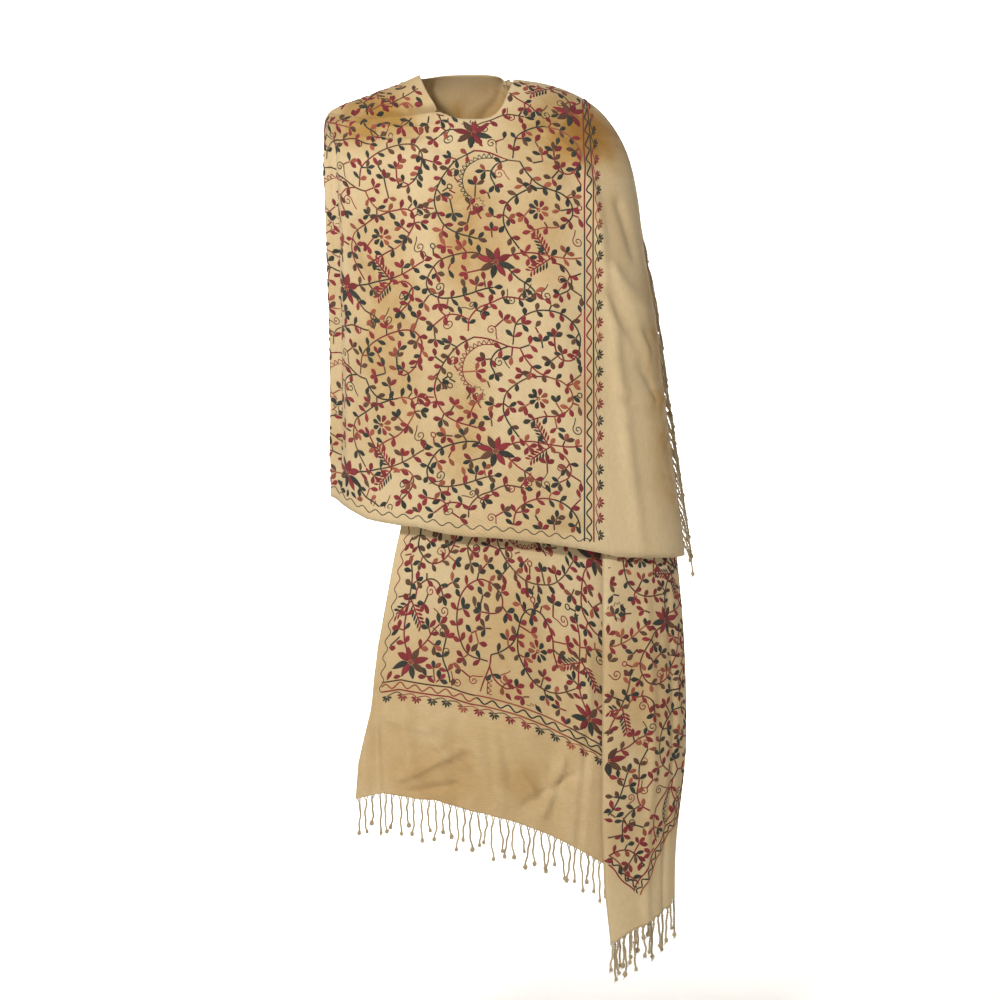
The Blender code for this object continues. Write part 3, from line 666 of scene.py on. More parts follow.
def end_down(across, row):
    """The share down the hanging end of a row under the wrap's hem."""
    return 1.0 + (row - HEM_ROW) / (row_at_height(end_hem_z(across)) - HEM_ROW)


def end_spot(over, up):
    """Place across, row and hem's height of a place on the hanging end, measured up from that hem."""
    row = np.full(np.shape(over), 13.2)
    for _ in range(3):
        across = end_across(over, row)
        hem_z = end_hem_z(across)
        row = row_at_height(hem_z + up)
    return across, row, hem_z


def lay_on_end(over, up, lift):
    """Points over the hanging end: across it from the left selvedge, and up from its hem."""
    across, row, _ = end_spot(over, up)
    return end_cloth(across, end_down(across, row), lift)


def lay_on_cascade(over, height, lift):
    """Points over the cascade: across it from its fold, and at a height."""
    row = row_at_height(height)
    across = end_across(fold_over(row) + over, row)
    return end_cloth(across, end_down(across, row), lift)


# ---------------------------------------------------------------- the embroidery's repeat
# The repeat is charted in millimetres from the middle of its large flower: along the cloth, then across it.
REPEAT_ALONG, REPEAT_ACROSS = 0.222, 0.262
FIRST_FLOWER = (0.126, 0.122)  # metres from the end border and from the wrap's hem
NECK_FLOWERS = [(0.158, 0.570), (0.018, 0.618)]  # two more, at the neckline and on the shoulder
LEAF_PITCH = {"pairs": 0.0178, "few": 0.0215}  # metres along a vine from one pair of leaves to the next
Vine = namedtuple("Vine", "leaves points")
VINES = [
    Vine("pairs", [
        (13, 5), (27, 14), (49, 18), (77, 17), (92, 3), (96, -11), (88, -27), (69, -38), (40, -41), (3, -35),
    ]),
    Vine("pairs", [(-14, 7), (-28, 14), (-50, 18), (-76, 17), (-103, 18), (-122, 23)]),
    Vine("few", [(-14, -4), (-31, -19), (-46, -27), (-55, -35)]),
    Vine("few", [(-78, 8), (-94, 6), (-106, -9), (-104, -24), (-90, -34)]),
    Vine("pairs", [
        (-34, 146), (-42, 132), (-57, 117), (-74, 111), (-93, 107), (-106, 96), (-108, 79), (-99, 66),
    ]),
    Vine("pairs", [(-99, 66), (-85, 58), (-68, 55), (-50, 48)]),
    Vine("pairs", [(-74, 111), (-50, 108), (-32, 98), (-18, 86), (-12, 74), (-11, 57), (-18, 41), (-33, 22)]),
    Vine("few", [(-18, 147), (-2, 139), (7, 123), (1, 108)]),
    Vine("bare", [(30, 160), (5, 154), (-18, 147), (-34, 146)]),
    Vine("pairs", [
        (30, 160), (52, 153), (69, 139), (80, 122), (85, 105), (82, 87), (71, 64), (52, 47), (25, 33),
    ]),
    Vine("few", [(38, -92), (36, -75), (24, -63), (7, -57), (-14, -47), (-40, -48)]),
    Vine("few", [(37, -76), (52, -66), (68, -62), (86, -70)]),
    Vine("pairs", [
        (-24, -112), (-28, -84), (-42, -69), (-63, -60), (-88, -60), (-108, -70), (-119, -87), (-118, -106),
    ]),
    Vine("few", [(-118, -106), (-108, -122), (-92, -124), (-84, -112), (-82, -94)]),
]
SPRIGS = [  # short stems that end in three leaves: where they start, and which way they point in degrees
    ((-84, -94), 100), ((-66, -112), 80), ((-103, -118), 200), ((-60, -92), 60), ((40, -41), 75),
    ((66, -40), -80), ((82, 86), -6), ((84, 104), -12), ((79, 124), -28), ((14, -35), 80), ((-108, 80), 190),
    ((-100, 104), 140), ((5, 34), 85), ((20, 60), 60), ((40, 76), 130), ((52, 118), 60), ((-6, 62), 10),
    ((56, 104), 40), ((62, 8), -60), ((-52, 84), -150), ((60, 30), 20), ((8, 88), 70),
]
RINGS = [  # short stems that end in a ring
    ((88, 22), 40), ((86, 26), 85), ((74, 112), 160), ((75, 100), 175), ((86, 92), 20), ((-106, 88), 160),
]
SPIRALS = [  # centre, radius, and the way its stem leaves
    ((-92, -14), 8, 250), ((-71, -39), 8, 60), ((-116, 44), 8, 40), ((78, -20), 8, -60),
    ((15, -71), 7, 100), ((33, -57), 6, -40), ((-22, -50), 7, 30), ((65, -75), 8, 60),
    ((-5, 124), 8, 170), ((-47, -40), 6, 60), ((60, 136), 8, 60), ((6, 168), 7, 200),
]
DAISY = (-60, 79)
FERNS = [((-76, 12), 58), ((-78, 15), -38)]
HOOK = [(0, 148), (22, 147), (40, 137), (46, 120), (42, 103), (33, 92)]
ROSETTE = (27, 80)

# Hues of the thread by name, and how often each one is taken for a leaf.
HUES = ("maroon", "charcoal", "brown", "rust")
MAROON, CHARCOAL, BROWN, RUST = range(4)
LEAF_SHARES = (0.41, 0.31, 0.16, 0.12)
LINE_SHARES = (0.34, 0.26, 0.28, 0.12)
# Columns of a leaf's record, and its shapes.
FOOT_ALONG, FOOT_ACROSS, WAY, LENGTH, WIDTH, HUE, SHAPE = range(7)
LEAF, POINTED_PETAL, ROUND_PETAL = range(3)
SMALL_LEAF = 0.005  # width up to which a leaf belongs to a fern or a border

PATH_STEP = 0.0026  # between the points of a stitched line
STEM_STEP = 0.003  # and of a short stem
BORDER_BAND = 0.0135  # from one plain line of a border to the other
SIDE_LINE = 0.0135  # from a selvedge to the zigzag beside it
LEAVES_APART = 0.0088  # middles of leaves on different stems
PETALS_APART = 0.0095  # and of a leaf and a petal
SPRIGS_APART = 0.0165  # sprigs that fill the gaps
SPRIG_REACH = 0.026  # the longest stem of such a sprig
FILL_STEP = 0.0062  # between the places that are tried for them
FIELD_MARGIN = 0.004  # bare cloth round the field


def smooth_path(points, step):
    """Points at even steps along a smooth curve through the given ones."""
    points = np.asarray(points, float)
    padded = np.concatenate([[2 * points[0] - points[1]], points, [2 * points[-1] - points[-2]]])
    share = np.linspace(0.0, 1.0, 9)[:-1, None]
    parts = []
    for p0, p1, p2, p3 in zip(padded, padded[1:], padded[2:], padded[3:]):
        curve = 2 * p1 + (p2 - p0) * share + (2 * p0 - 5 * p1 + 4 * p2 - p3) * share**2
        parts.append((curve + (3 * p1 - p0 - 3 * p2 + p3) * share**3) / 2)
    fine = np.concatenate(parts + [points[-1:]])
    return even_path(fine, step)


def even_path(points, step):
    run = run_along(points)
    count = max(int(round(run[-1] / step)), 3)
    stops = np.linspace(0.0, run[-1], count + 1)
    return np.stack([np.interp(stops, run, points[:, 0]), np.interp(stops, run, points[:, 1])], axis=1)


def straight(start, end, step=PATH_STEP):
    return even_path(np.array([start, end], float), step)


def in_lengths(path, pieces):
    """The path cut into lengths that meet, for threads of different hues."""
    for part in np.array_split(np.arange(len(path)), pieces):
        yield path[np.append(part, min(part[-1] + 1, len(path) - 1))]


def beside_path(path):
    """Steps of 1 to the left of a path at each of its points."""
    tangent = unit(np.gradient(path, axis=0))
    return np.stack([-tangent[:, 1], tangent[:, 0]], axis=1)


def heading(degrees):
    return np.array([np.cos(np.radians(degrees)), np.sin(np.radians(degrees))])


def spiral_path(centre, radius, leaving, turns=1.7):
    """A spiral in millimetres, from its middle out to where its stem leaves."""
    share = np.linspace(0.12, 1.0, int(26 * turns / 1.7))
    angle = np.radians(leaving) - (1.0 - share) * turns * 2.0 * np.pi
    path = np.asarray(centre) + radius * share[:, None] * np.stack([np.cos(angle), np.sin(angle)], axis=1)
    tangent = unit(path[-1] - path[-2])
    ahead, aside = np.array([[3.0], [6.5], [10.0]]), np.array([[0.2], [1.0], [2.4]])
    return np.concatenate([path, path[-1] + ahead * tangent + aside * heading(leaving)])


def ring_path(centre, radius, teeth=0, depth=0.0):
    """A plain ring, or one with teeth that stand out by this depth."""
    angle = np.linspace(0.0, 2.0 * np.pi, 13 if teeth == 0 else 2 * teeth + 1)
    wave = np.where(np.arange(len(angle)) % 2 == 0, 0.0, depth)
    return np.asarray(centre) + (radius + wave)[:, None] * np.stack([np.cos(angle), np.sin(angle)], axis=1)


def wavy(path, half_width, wavelength):
    """The path with a row of even waves over it."""
    fine = even_path(path, wavelength / 10.0)
    swing = np.sin(2.0 * np.pi * np.arange(len(fine)) / 10.0)
    return fine + beside_path(fine) * swing[:, None] * half_width


def turned_to(step):
    """The way of a step, in degrees."""
    return np.degrees(np.arctan2(step[1], step[0]))


def leaf_middles(leaves):
    turn = np.radians(leaves[:, WAY])
    ahead = np.stack([np.cos(turn), np.sin(turn)], axis=1)
    return leaves[:, :2] + ahead * leaves[:, LENGTH, None] * 0.5


def tree_of(points):
    """A search tree of places on the cloth."""
    tree = mathutils.kdtree.KDTree(len(points))
    for number, point in enumerate(points):
        tree.insert((*point, 0.0), number)
    tree.balance()
    return tree


class Cells:
    """Places kept in square cells, to find quickly whether another place is too close to one of them."""

    def __init__(self, apart):
        self.apart = apart
        self.places = {}

    def cell(self, place):
        return int(place[0] // self.apart), int(place[1] // self.apart)

    def add(self, place):
        self.places.setdefault(self.cell(place), []).append((float(place[0]), float(place[1])))

    def crowded(self, place):
        first, second = self.cell(place)
        for i in (first - 1, first, first + 1):
            for j in (second - 1, second, second + 1):
                for other in self.places.get((i, j), ()):
                    if (place[0] - other[0]) ** 2 + (place[1] - other[1]) ** 2 < self.apart**2:
                        return True
        return False


def uncrowded(leaves):
    """The leaves without those that would lie on another stem's. Petals and small leaves all stay."""
    middles = leaf_middles(leaves)
    free = (leaves[:, SHAPE] == LEAF) & (leaves[:, WIDTH] > SMALL_LEAF)
    petals, sewn = Cells(PETALS_APART), Cells(LEAVES_APART)
    for middle in middles[leaves[:, SHAPE] != LEAF]:
        petals.add(middle)
    kept, group, foot = [], [], None
    for number, middle in enumerate(middles.tolist()):
        if free[number]:
            if foot != tuple(leaves[number, :2]):
                for other in group:
                    sewn.add(other)
                group, foot = [], tuple(leaves[number, :2])
            if sewn.crowded(middle) or petals.crowded(middle):
                continue
            group.append(middle)
        kept.append(number)
    return leaves[kept]


class Needlework:
    """Collects the stitched lines and leaves of one part of the cloth, in metres along and across it."""

    def __init__(self, seed):
        self.chance = np.random.default_rng(seed)
        self.lines = []
        self.leaves = []

    def hue(self, shares=LEAF_SHARES):
        return int(self.chance.choice(len(HUES), p=shares))

    def line(self, path, hue=None, width=None):
        hue = self.hue(LINE_SHARES) if hue is None else hue
        self.lines.append((np.asarray(path, float), hue, width or sizes().vine_width))

    def leaf(self, foot, way, length=None, width=None, hue=None, shape=LEAF):
        length = length or sizes().leaf_length * self.chance.uniform(0.86, 1.12)
        width = width or sizes().leaf_width * self.chance.uniform(0.88, 1.12)
        self.leaves.append((*foot, way, length, width, self.hue() if hue is None else hue, shape))

    def three_leaves(self, foot, way):
        for turned in (-62.0, 0.0, 60.0):
            self.leaf(foot, way + turned + self.chance.uniform(-7, 7))

    def vine(self, path, kind):
        """A stem with pairs of leaves every 18 mm or so, and here and there a side stem with three."""
        hue = self.hue(LINE_SHARES)
        turn = len(path) // 2 + int(self.chance.integers(-6, 7)) if len(path) > 24 else len(path) - 1
        self.line(path[: turn + 1], hue)
        if turn < len(path) - 1:
            self.line(path[turn:])
        if kind == "bare":
            return
        run = run_along(path)
        pitch = LEAF_PITCH[kind]
        for count, stop in enumerate(np.arange(0.010, run[-1] - 0.006, pitch)):
            number = min(max(int(np.searchsorted(run, stop)), 1), len(path) - 1)
            way = turned_to(path[number] - path[number - 1])
            spread_out = self.chance.uniform(46, 60)
            if count % 3 == 1:
                side = 1 if count % 2 else -1
                self.sprig(path[number], way + side * (spread_out + 8), 0.0085)
                self.leaf(path[number], way - side * spread_out)
            else:
                for side in (1, -1):
                    self.leaf(path[number], way + side * spread_out)
        self.three_leaves(path[-1], turned_to(path[-1] - path[-2]))

    def sprig(self, foot, way, stem=0.009):
        tip = foot + heading(way) * stem
        self.line(straight(foot, tip, STEM_STEP))
        self.three_leaves(tip, way)

    def fill(self, keep):
        """Sprigs in the gaps, each on a stem from the nearest line."""
        points = np.concatenate([path for path, _, _ in self.lines])
        leaves = leaf_middles(np.array(self.leaves))
        shown = np.concatenate([points[keep(points)], leaves[keep(leaves)]])
        near_line, near_any = tree_of(points), tree_of(shown)
        low, high = shown.min(axis=0), shown.max(axis=0)
        spots = np.meshgrid(*(np.arange(low[way], high[way], FILL_STEP) for way in (0, 1)))
        spots = np.stack([spots[0].ravel(), spots[1].ravel()], axis=1)
        spots = spots + self.chance.uniform(-0.0015, 0.0015, spots.shape)
        spots = spots[keep(spots)].tolist()
        cells = Cells(SPRIGS_APART * 1.35)
        for spot in spots:
            if near_any.find((*spot, 0.0))[2] < SPRIGS_APART * 0.72 or cells.crowded(spot):
                continue
            foot, _, distance = near_line.find((*spot, 0.0))
            if distance > SPRIG_REACH:
                continue
            foot, spot = np.array(foot[:2]), np.array(spot)
            self.line(straight(foot, spot, STEM_STEP))
            self.three_leaves(spot, turned_to(spot - foot))
            cells.add(spot)

    def ring_sprig(self, foot, way):
        tip = foot + heading(way) * 0.010
        hue = self.hue(LINE_SHARES)
        self.line(straight(foot, tip, STEM_STEP), hue)
        self.line(ring_path(tip + heading(way) * 0.0034, 0.0034), hue, 0.0021)

    def large_flower(self, centre):
        """Eight pointed petals, longer to the sides, with a vein down each and a knot in the middle."""
        first = self.chance.uniform(8, 18)
        lengths = (0.027, 0.022, 0.020, 0.023, 0.027, 0.022, 0.022, 0.024)
        hues = (MAROON, BROWN, MAROON, MAROON, CHARCOAL, MAROON, CHARCOAL, BROWN)
        for number, length in enumerate(lengths):
            way = first + 45.0 * number + self.chance.uniform(-4, 4)
            hue = hues[number]
            self.leaf(centre + heading(way) * 0.0020, way, length, 0.0104, hue, POINTED_PETAL)
            vein = centre + heading(way) * np.linspace(0.003, length * 0.9, 6)[:, None]
            self.line(vein, CHARCOAL if hue != CHARCOAL else MAROON, 0.0015)
        self.line(ring_path(centre, 0.0026), RUST, 0.0022)
        self.line(ring_path(centre, 0.0009), MAROON, 0.0020)

    def daisy(self, centre):
        """Eight round petals, half of them red and half dark."""
        first = self.chance.uniform(0, 45)
        for number in range(8):
            way = first + 45.0 * number
            hue = MAROON if 90 < (way + 20) % 360 < 270 else CHARCOAL
            hue = RUST if number in (3, 4) else hue
            self.leaf(centre + heading(way) * 0.0036, way, 0.0118, 0.0072, hue, ROUND_PETAL)
        self.line(ring_path(centre, 0.0020), RUST, 0.0022)

    def fern(self, foot, way):
        stem = foot + heading(way) * np.linspace(0.0, 0.036, 8)[:, None]
        self.line(stem, MAROON)
        for number in range(6):
            place = foot + heading(way) * (0.008 + 0.0055 * number)
            for side in (1, -1):
                hue = MAROON if side > 0 or number > 3 else CHARCOAL
                self.leaf(place, way + side * 46, 0.0125 - 0.0006 * number, 0.0036, hue)

    def band(self, path, side):
        """A line with a row of small teeth beside it."""
        hue = self.hue(LINE_SHARES)
        self.line(path, hue, 0.0018)
        self.line(wavy(path + beside_path(path) * 0.0034 * side, 0.0024, 0.0070), hue, 0.0016)

    def hook(self, points, rosette):
        """A band of small teeth that curls round and ends in a toothed rosette."""
        self.band(smooth_path(points, 0.002), 1.0)
        other = self.hue(LINE_SHARES)
        self.line(ring_path(rosette, 0.0088, 11, 0.0036), other, 0.0016)
        self.line(spiral_path(rosette, 0.0050, 40, 1.3)[:-2], other, 0.0017)


def stitch_repeat(work, origin, place):
    """Sews one repeat. place turns metres of the chart into metres of this part of the cloth."""
    origin = np.asarray(origin)

    def put(point):
        return place(origin + np.asarray(point, float) / 1000.0)

    def way_of(point, degrees):
        here, there = put(point), put(np.asarray(point) + heading(degrees))
        return np.degrees(np.arctan2(*(there - here)[::-1]))

    for vine in VINES:
        work.vine(even_path(put(smooth_path(vine.points, 2.4)), PATH_STEP), vine.leaves)
    for foot, way in SPRIGS:
        work.sprig(put(foot), way_of(foot, way))
    for foot, way in RINGS:
        work.ring_sprig(put(foot), way_of(foot, way))
    for centre, radius, leaving in SPIRALS:
        work.line(even_path(put(spiral_path(centre, radius, leaving)), 0.0018), None, 0.0019)
    work.daisy(put(DAISY))
    work.large_flower(put((0, 0)))
    for foot, way in FERNS:
        work.fern(put(foot), way_of(foot, way))
    work.hook(put(HOOK), put(ROSETTE))


# ---------------------------------------------------------------- laying the stitches on the cloth
@functools.lru_cache(maxsize=None)
def flat_patch(lengths, widths):
    """A flat grid: its points from 0 to 1 along and -1 to 1 across, and its faces."""
    mesh_data = bmesh.new()
    bmesh.ops.create_grid(mesh_data, x_segments=lengths, y_segments=widths, size=0.5)
    points = np.array([(vert.co.x + 0.5, 2.0 * vert.co.y) for vert in mesh_data.verts])
    faces = np.array([[vert.index for vert in face.verts] for face in mesh_data.faces])
    mesh_data.free()
    return points, faces


def colour_threads(mesh, hues, stitches):
    """Gives a mesh the colours of its threads, and the way of their stitches as its UVs."""
    tint = mesh.color_attributes.new("thread", "FLOAT_COLOR", "POINT")
    tint.data.foreach_set("color", hues.astype(np.float32).ravel())
    index = np.zeros(len(mesh.loops), np.int32)
    mesh.loops.foreach_get("vertex_index", index)
    uv_layer = mesh.uv_layers.new(name="stitches")
    uv_layer.data.foreach_set("uv", stitches[index].astype(np.float32).ravel())
    mesh.validate()


def thread_mesh(name, places, faces, hues, stitches, material):
    """One joined mesh of many stitched shapes."""
    mesh = bpy.data.meshes.new(name)
    mesh.vertices.add(len(places))
    mesh.vertices.foreach_set("co", places.astype(np.float32).ravel())
    mesh.loops.add(faces.size)
    mesh.loops.foreach_set("vertex_index", faces.ravel().astype(np.int32))
    mesh.polygons.add(len(faces))
    mesh.polygons.foreach_set("loop_start", np.arange(0, faces.size, 4, dtype=np.int32))
    mesh.update(calc_edges=True)
    colour_threads(mesh, hues, stitches)
    piece = piece_from(name, mesh, material)


def tinted(hue, chance):
    """The hue's colour a little lighter or darker, as one skein differs from the next."""
    base = linear(getattr(colours(), HUES[hue]))
    return np.concatenate([base * chance.uniform(0.80, 1.25), [1.0]])


def sew(name, work, lay, keep, material):
    """Lays the collected stitches on the cloth: leaves as domed patches and lines as low ribbons."""
    places, faces, hues, stitches = [], [], [], []
    count = 0
    height = sizes().cloth_wall / 2.0
    lift = sizes().thread_lift
    parts = kept_parts(work.lines, keep)
    run = np.concatenate([part[0] for part in parts])
    base = lay(run[:, 0], run[:, 1], np.full(len(run), height))
    raised = lay(run[:, 0], run[:, 1], np.full(len(run), height + 0.001))
    normal = unit(raised - base)
    first = 0
    for points, hue, width in parts:
        here = slice(first, first + len(points))
        first += len(points)
        line_places, line_faces, line_stitches = ribbon(base[here], normal[here], width, lift)
        places.append(line_places)
        faces.append(line_faces + count)
        stitches.append(line_stitches)
        hues.append(np.tile(tinted(hue, work.chance), (len(line_places), 1)))
        count += len(line_places)
    leaves = np.array(work.leaves).reshape(-1, 7)
    leaves = uncrowded(leaves[keep(leaf_middles(leaves))])
    flat, patch = flat_patch(6, 4)
    for shape in (LEAF, POINTED_PETAL, ROUND_PETAL):
        group = leaves[leaves[:, SHAPE] == shape]
        if len(group) == 0:
            continue
        along, aside, rise = leaf_outline(shape, flat)
        turn = np.radians(group[:, WAY])[:, None]
        over = group[:, LENGTH, None] * along
        side = group[:, WIDTH, None] * 0.5 * aside
        first = group[:, FOOT_ALONG, None] + over * np.cos(turn) - side * np.sin(turn)
        second = group[:, FOOT_ACROSS, None] + over * np.sin(turn) + side * np.cos(turn)
        full = height + lift * rise[None] * (0.75 + 0.5 * (group[:, WIDTH, None] > SMALL_LEAF))
        placed = lay(first.ravel(), second.ravel(), full.ravel())
        number = np.arange(len(group))[:, None, None] * len(flat)
        places.append(placed)
        faces.append((patch[None] + number).reshape(-1, 4) + count)
        stitches.append(np.stack([over, side], axis=-1).reshape(-1, 2))
        tint = np.array([tinted(int(hue), work.chance) for hue in group[:, HUE]])
        hues.append(np.repeat(tint, len(flat), axis=0))
        count += len(placed)
    thread_mesh(name, *map(np.concatenate, (places, faces, hues, stitches)), material)


# Of a leaf, a pointed petal and a round petal: how far out it is widest, and how full it is.
OUTLINES = ((1.30, 0.85), (0.92, 0.95), (1.60, 0.55))


def leaf_outline(shape, flat):
    """Outline and dome of a leaf or petal, over the flat patch."""
    share, across = flat[:, 0], flat[:, 1]
    outward_by, fullness = OUTLINES[shape]
    half = np.maximum(np.sin(np.pi * share**outward_by) ** fullness, 0.03)
    dome = (1.0 - across**2) ** 0.7 * np.minimum(1.0, 6.0 * share) * np.minimum(1.0, 6.0 * (1.0 - share))
    return share, across * half, dome * 1.15 - 0.18


def kept_parts(lines, keep):
    """The stretches of the lines that lie where there is cloth to sew on."""
    inside = keep(np.concatenate([points for points, _, _ in lines]))
    parts = []
    first = 0
    for points, hue, width in lines:
        good = inside[first : first + len(points)]
        first += len(points)
        turns = np.nonzero(np.diff(good.astype(int)))[0] + 1
        for numbers in np.split(np.arange(len(points)), turns):
            if good[numbers[0]] and len(numbers) > 2:
                parts.append((points[numbers], hue, width))
    return parts


def ribbon(base, normal, width, lift):
    """A low rounded ribbon along a line of the cloth."""
    flat, patch = flat_patch(len(base) - 1, 2)
    steps = np.gradient(base, axis=0)
    side = np.cross(normal, steps)
    side = side / np.maximum(np.linalg.norm(side, axis=1, keepdims=True), 1e-9)
    number = np.rint(flat[:, 0] * (len(base) - 1)).astype(int)
    rise = np.where(np.abs(flat[:, 1]) < 0.5, lift, -lift * 0.25)[:, None]
    places = base[number] + side[number] * (flat[:, 1:2] * width / 2.0) + normal[number] * rise
    run = run_along(base)
    return places, patch, np.stack([run[number], flat[:, 1] * width / 2.0], axis=1)


# ---------------------------------------------------------------- where each part is sewn
BORDER_AT_END = 0.150  # height of the end border over the hem of the hanging end
FIELD_LENGTH = 1.720  # of the embroidered field, from one end border to the other
CASCADE_FLOWER = (0.006, -0.9234)  # the flower that the fold cuts: past that fold, and its height
CASCADE_TURN = 27.0  # degrees by which the cloth of the cascade hangs askew
FieldEdge = namedtuple("FieldEdge", "x z")
CASCADE_EDGE = [
    FieldEdge(0.1854, -1.0712), FieldEdge(0.2268, -1.1115), FieldEdge(0.2338, -1.1000),
    FieldEdge(0.2549, -1.0640), FieldEdge(0.2718, -1.0324), FieldEdge(0.2859, -1.0180),
    FieldEdge(0.2942, -0.9850), FieldEdge(0.3020, -0.9492),
]


def sag(along, up):
    """How much higher the pattern's own lines lie than the hem: the cloth sinks towards the left arm."""
    return 0.072 * ease((along - 0.13) / 0.20) * ease((0.62 - along) / 0.20) * ease(up / 0.07 + 0.15)


def on_wrap(points):
    """From the pattern's lengths to those of the wound cloth."""
    along, up = points[..., 0], points[..., 1]
    return np.stack([along, up - sag(along, up)], axis=-1)


def on_end(points):
    """From the pattern's lengths to those of the hanging end, whose border lies along its hem."""
    return np.stack([CLOTH_WIDTH - points[..., 1], BORDER_AT_END + FIELD_LENGTH - points[..., 0]], axis=-1)


def on_cascade(points):
    """From the pattern's lengths to those of the cascade, where the cloth hangs askew."""
    down = points[..., 0] - (FIRST_FLOWER[0] + 7.0 * REPEAT_ALONG)
    over = points[..., 1] - FIRST_FLOWER[1]
    turn = np.radians(CASCADE_TURN)
    x = CASCADE_FLOWER[0] - np.sin(turn) * down - np.cos(turn) * over
    z = CASCADE_FLOWER[1] - np.cos(turn) * down + np.sin(turn) * over
    return np.stack([x, z], axis=-1)


def keep_on_wrap(points):
    """True where the field of the wound cloth shows: between hem, end border, upper edge and fringed end."""
    along, up = points[:, 0], points[:, 1]
    chart = wrap_chart()
    top, neck = np.interp(along, chart.along, chart.top), np.interp(along, chart.along, chart.neck)
    angle, row = wrap_place(along, up)
    on_shoulder = (angle > 183.0) & (angle < 236.0) & (up > top + 0.014) & (up < neck - 0.026)
    front = (up < top - FIELD_MARGIN) | on_shoulder
    back = up < neck - 0.022
    shown = np.where(angle > 180.0, front, back) & (angle > read_edge(WRAP_END, row) - 356.5)
    return shown & (up > 0.016 + FIELD_MARGIN) & (along > FIELD_MARGIN)


def keep_anywhere(points):
    return np.ones(len(points), bool)


def keep_to_top(points):
    """True under the upper edge of the front wrap, for its end border."""
    chart = wrap_chart()
    return points[:, 1] < np.interp(np.maximum(points[:, 0], 0.0), chart.along, chart.top) - 0.002


def keep_on_end(points):
    """True on the flat part of the hanging end, over its border and under the wrap."""
    over, up = points[:, 0], points[:, 1]
    across, _, hem_z = end_spot(over, up)
    under_wrap = hem_z + up < -0.56
    return (over > 0.018) & (across < PLEAT_UNDER - 0.01) & (up > BORDER_AT_END + 0.018) & under_wrap


def keep_on_cascade(points):
    """True on the cascade, over the slanting edge of its field."""
    over, height = points[:, 0], points[:, 1]
    row = row_at_height(height)
    across = end_across(fold_over(row) + over, row)
    inside = (across > PLEAT_OUT + 0.008) & (across < 0.996) & (height < -0.58) & (height > -1.13)
    placed = lay_on_cascade(np.clip(over, 0.0, 0.20), np.clip(height, -1.13, -0.58), np.zeros(len(over)))
    edge = np.interp(placed[:, 0], [spot.x for spot in CASCADE_EDGE], [spot.z for spot in CASCADE_EDGE])
    return inside & (height > edge + 0.006)


def keep_cascade_border(points):
    row = row_at_height(points[:, 1])
    across = end_across(fold_over(row) + points[:, 0], row)
    return (across > PLEAT_OUT + 0.006) & (across < 0.998)


def repeats(alongs, acrosses):
    for first in alongs:
        for second in acrosses:
            yield FIRST_FLOWER[0] + first * REPEAT_ALONG, FIRST_FLOWER[1] + second * REPEAT_ACROSS


FLOWERS_APART = 0.0225  # of the small flowers of an end border
BORDER_HUES = (CHARCOAL, MAROON, MAROON, CHARCOAL, CHARCOAL, RUST, MAROON)  # of one flower after another


def border_path(path, inner_hues, work, outward_side):
    """The end border: two plain lines with a zigzag between them, and small flowers on a scalloped stem."""
    beside = beside_path(path) * outward_side
    pieces = max(len(path) // 40, 1)
    for inner, outer in zip(in_lengths(path, pieces), in_lengths(path + beside * BORDER_BAND, pieces)):
        for line in (inner, outer):
            work.line(line, inner_hues[int(work.chance.integers(len(inner_hues)))])
    for part in in_lengths(wavy(path + beside * 0.0068, 0.0036, FLOWERS_APART), pieces):
        work.line(part, int(work.chance.choice([CHARCOAL, RUST, MAROON])))
    stem = []
    for number, stop in enumerate(np.arange(0.010, (len(path) - 1) * PATH_STEP - 0.004, FLOWERS_APART)):
        place = min(int(round(stop / PATH_STEP)), len(path) - 1)
        out = beside[place]
        way = turned_to(out)
        foot = path[place] + out * 0.0205
        hue = BORDER_HUES[number % 7]
        for turned in (-72.0, -36.0, 0.0, 36.0, 72.0):
            lean = way + turned + 8.0 * outward_side
            work.leaf(foot + heading(lean) * 0.0008, lean, 0.0092 - abs(turned) * 0.00002, 0.0034, hue)
        middle = path[min(place + 4, len(path) - 1)] + out * 0.0165
        stem.append((foot, middle, hue))
    for (foot, middle, hue), (after, _, _) in zip(stem, stem[1:]):
        curve = smooth_path([foot, middle + (after - foot) * 0.12, after], PATH_STEP)
        work.line(curve, hue, 0.0017)


def side_line(path, work):
    """The zigzag that runs beside a selvedge."""
    zigzag = wavy(path, 0.0030, 0.0215)
    for part in in_lengths(zigzag, max(len(zigzag) // 46, 1)):
        work.line(part, None, 0.0018)


def cascade_border(work):
    """The narrow border along the slanting edge of the cascade's field."""
    over = np.linspace(0.0, 0.20, 401)
    corners = []
    for spot in CASCADE_EDGE:
        reached = lay_on_cascade(over, np.full(len(over), spot.z), np.zeros(len(over)))[:, 0]
        corners.append((over[np.argmin(np.abs(reached - spot.x))], spot.z))
    for part, side in ((corners[1:], -1.0), (corners[:2], 1.0)):
        path = wavy(even_path(np.array(part), PATH_STEP), 0.0016, 0.046)
        beside = beside_path(path) * side
        work.line(path, MAROON)
        work.line(wavy(path + beside * 0.0062, 0.0030, 0.0150), CHARCOAL)
        work.line(path + beside * 0.0115, RUST)


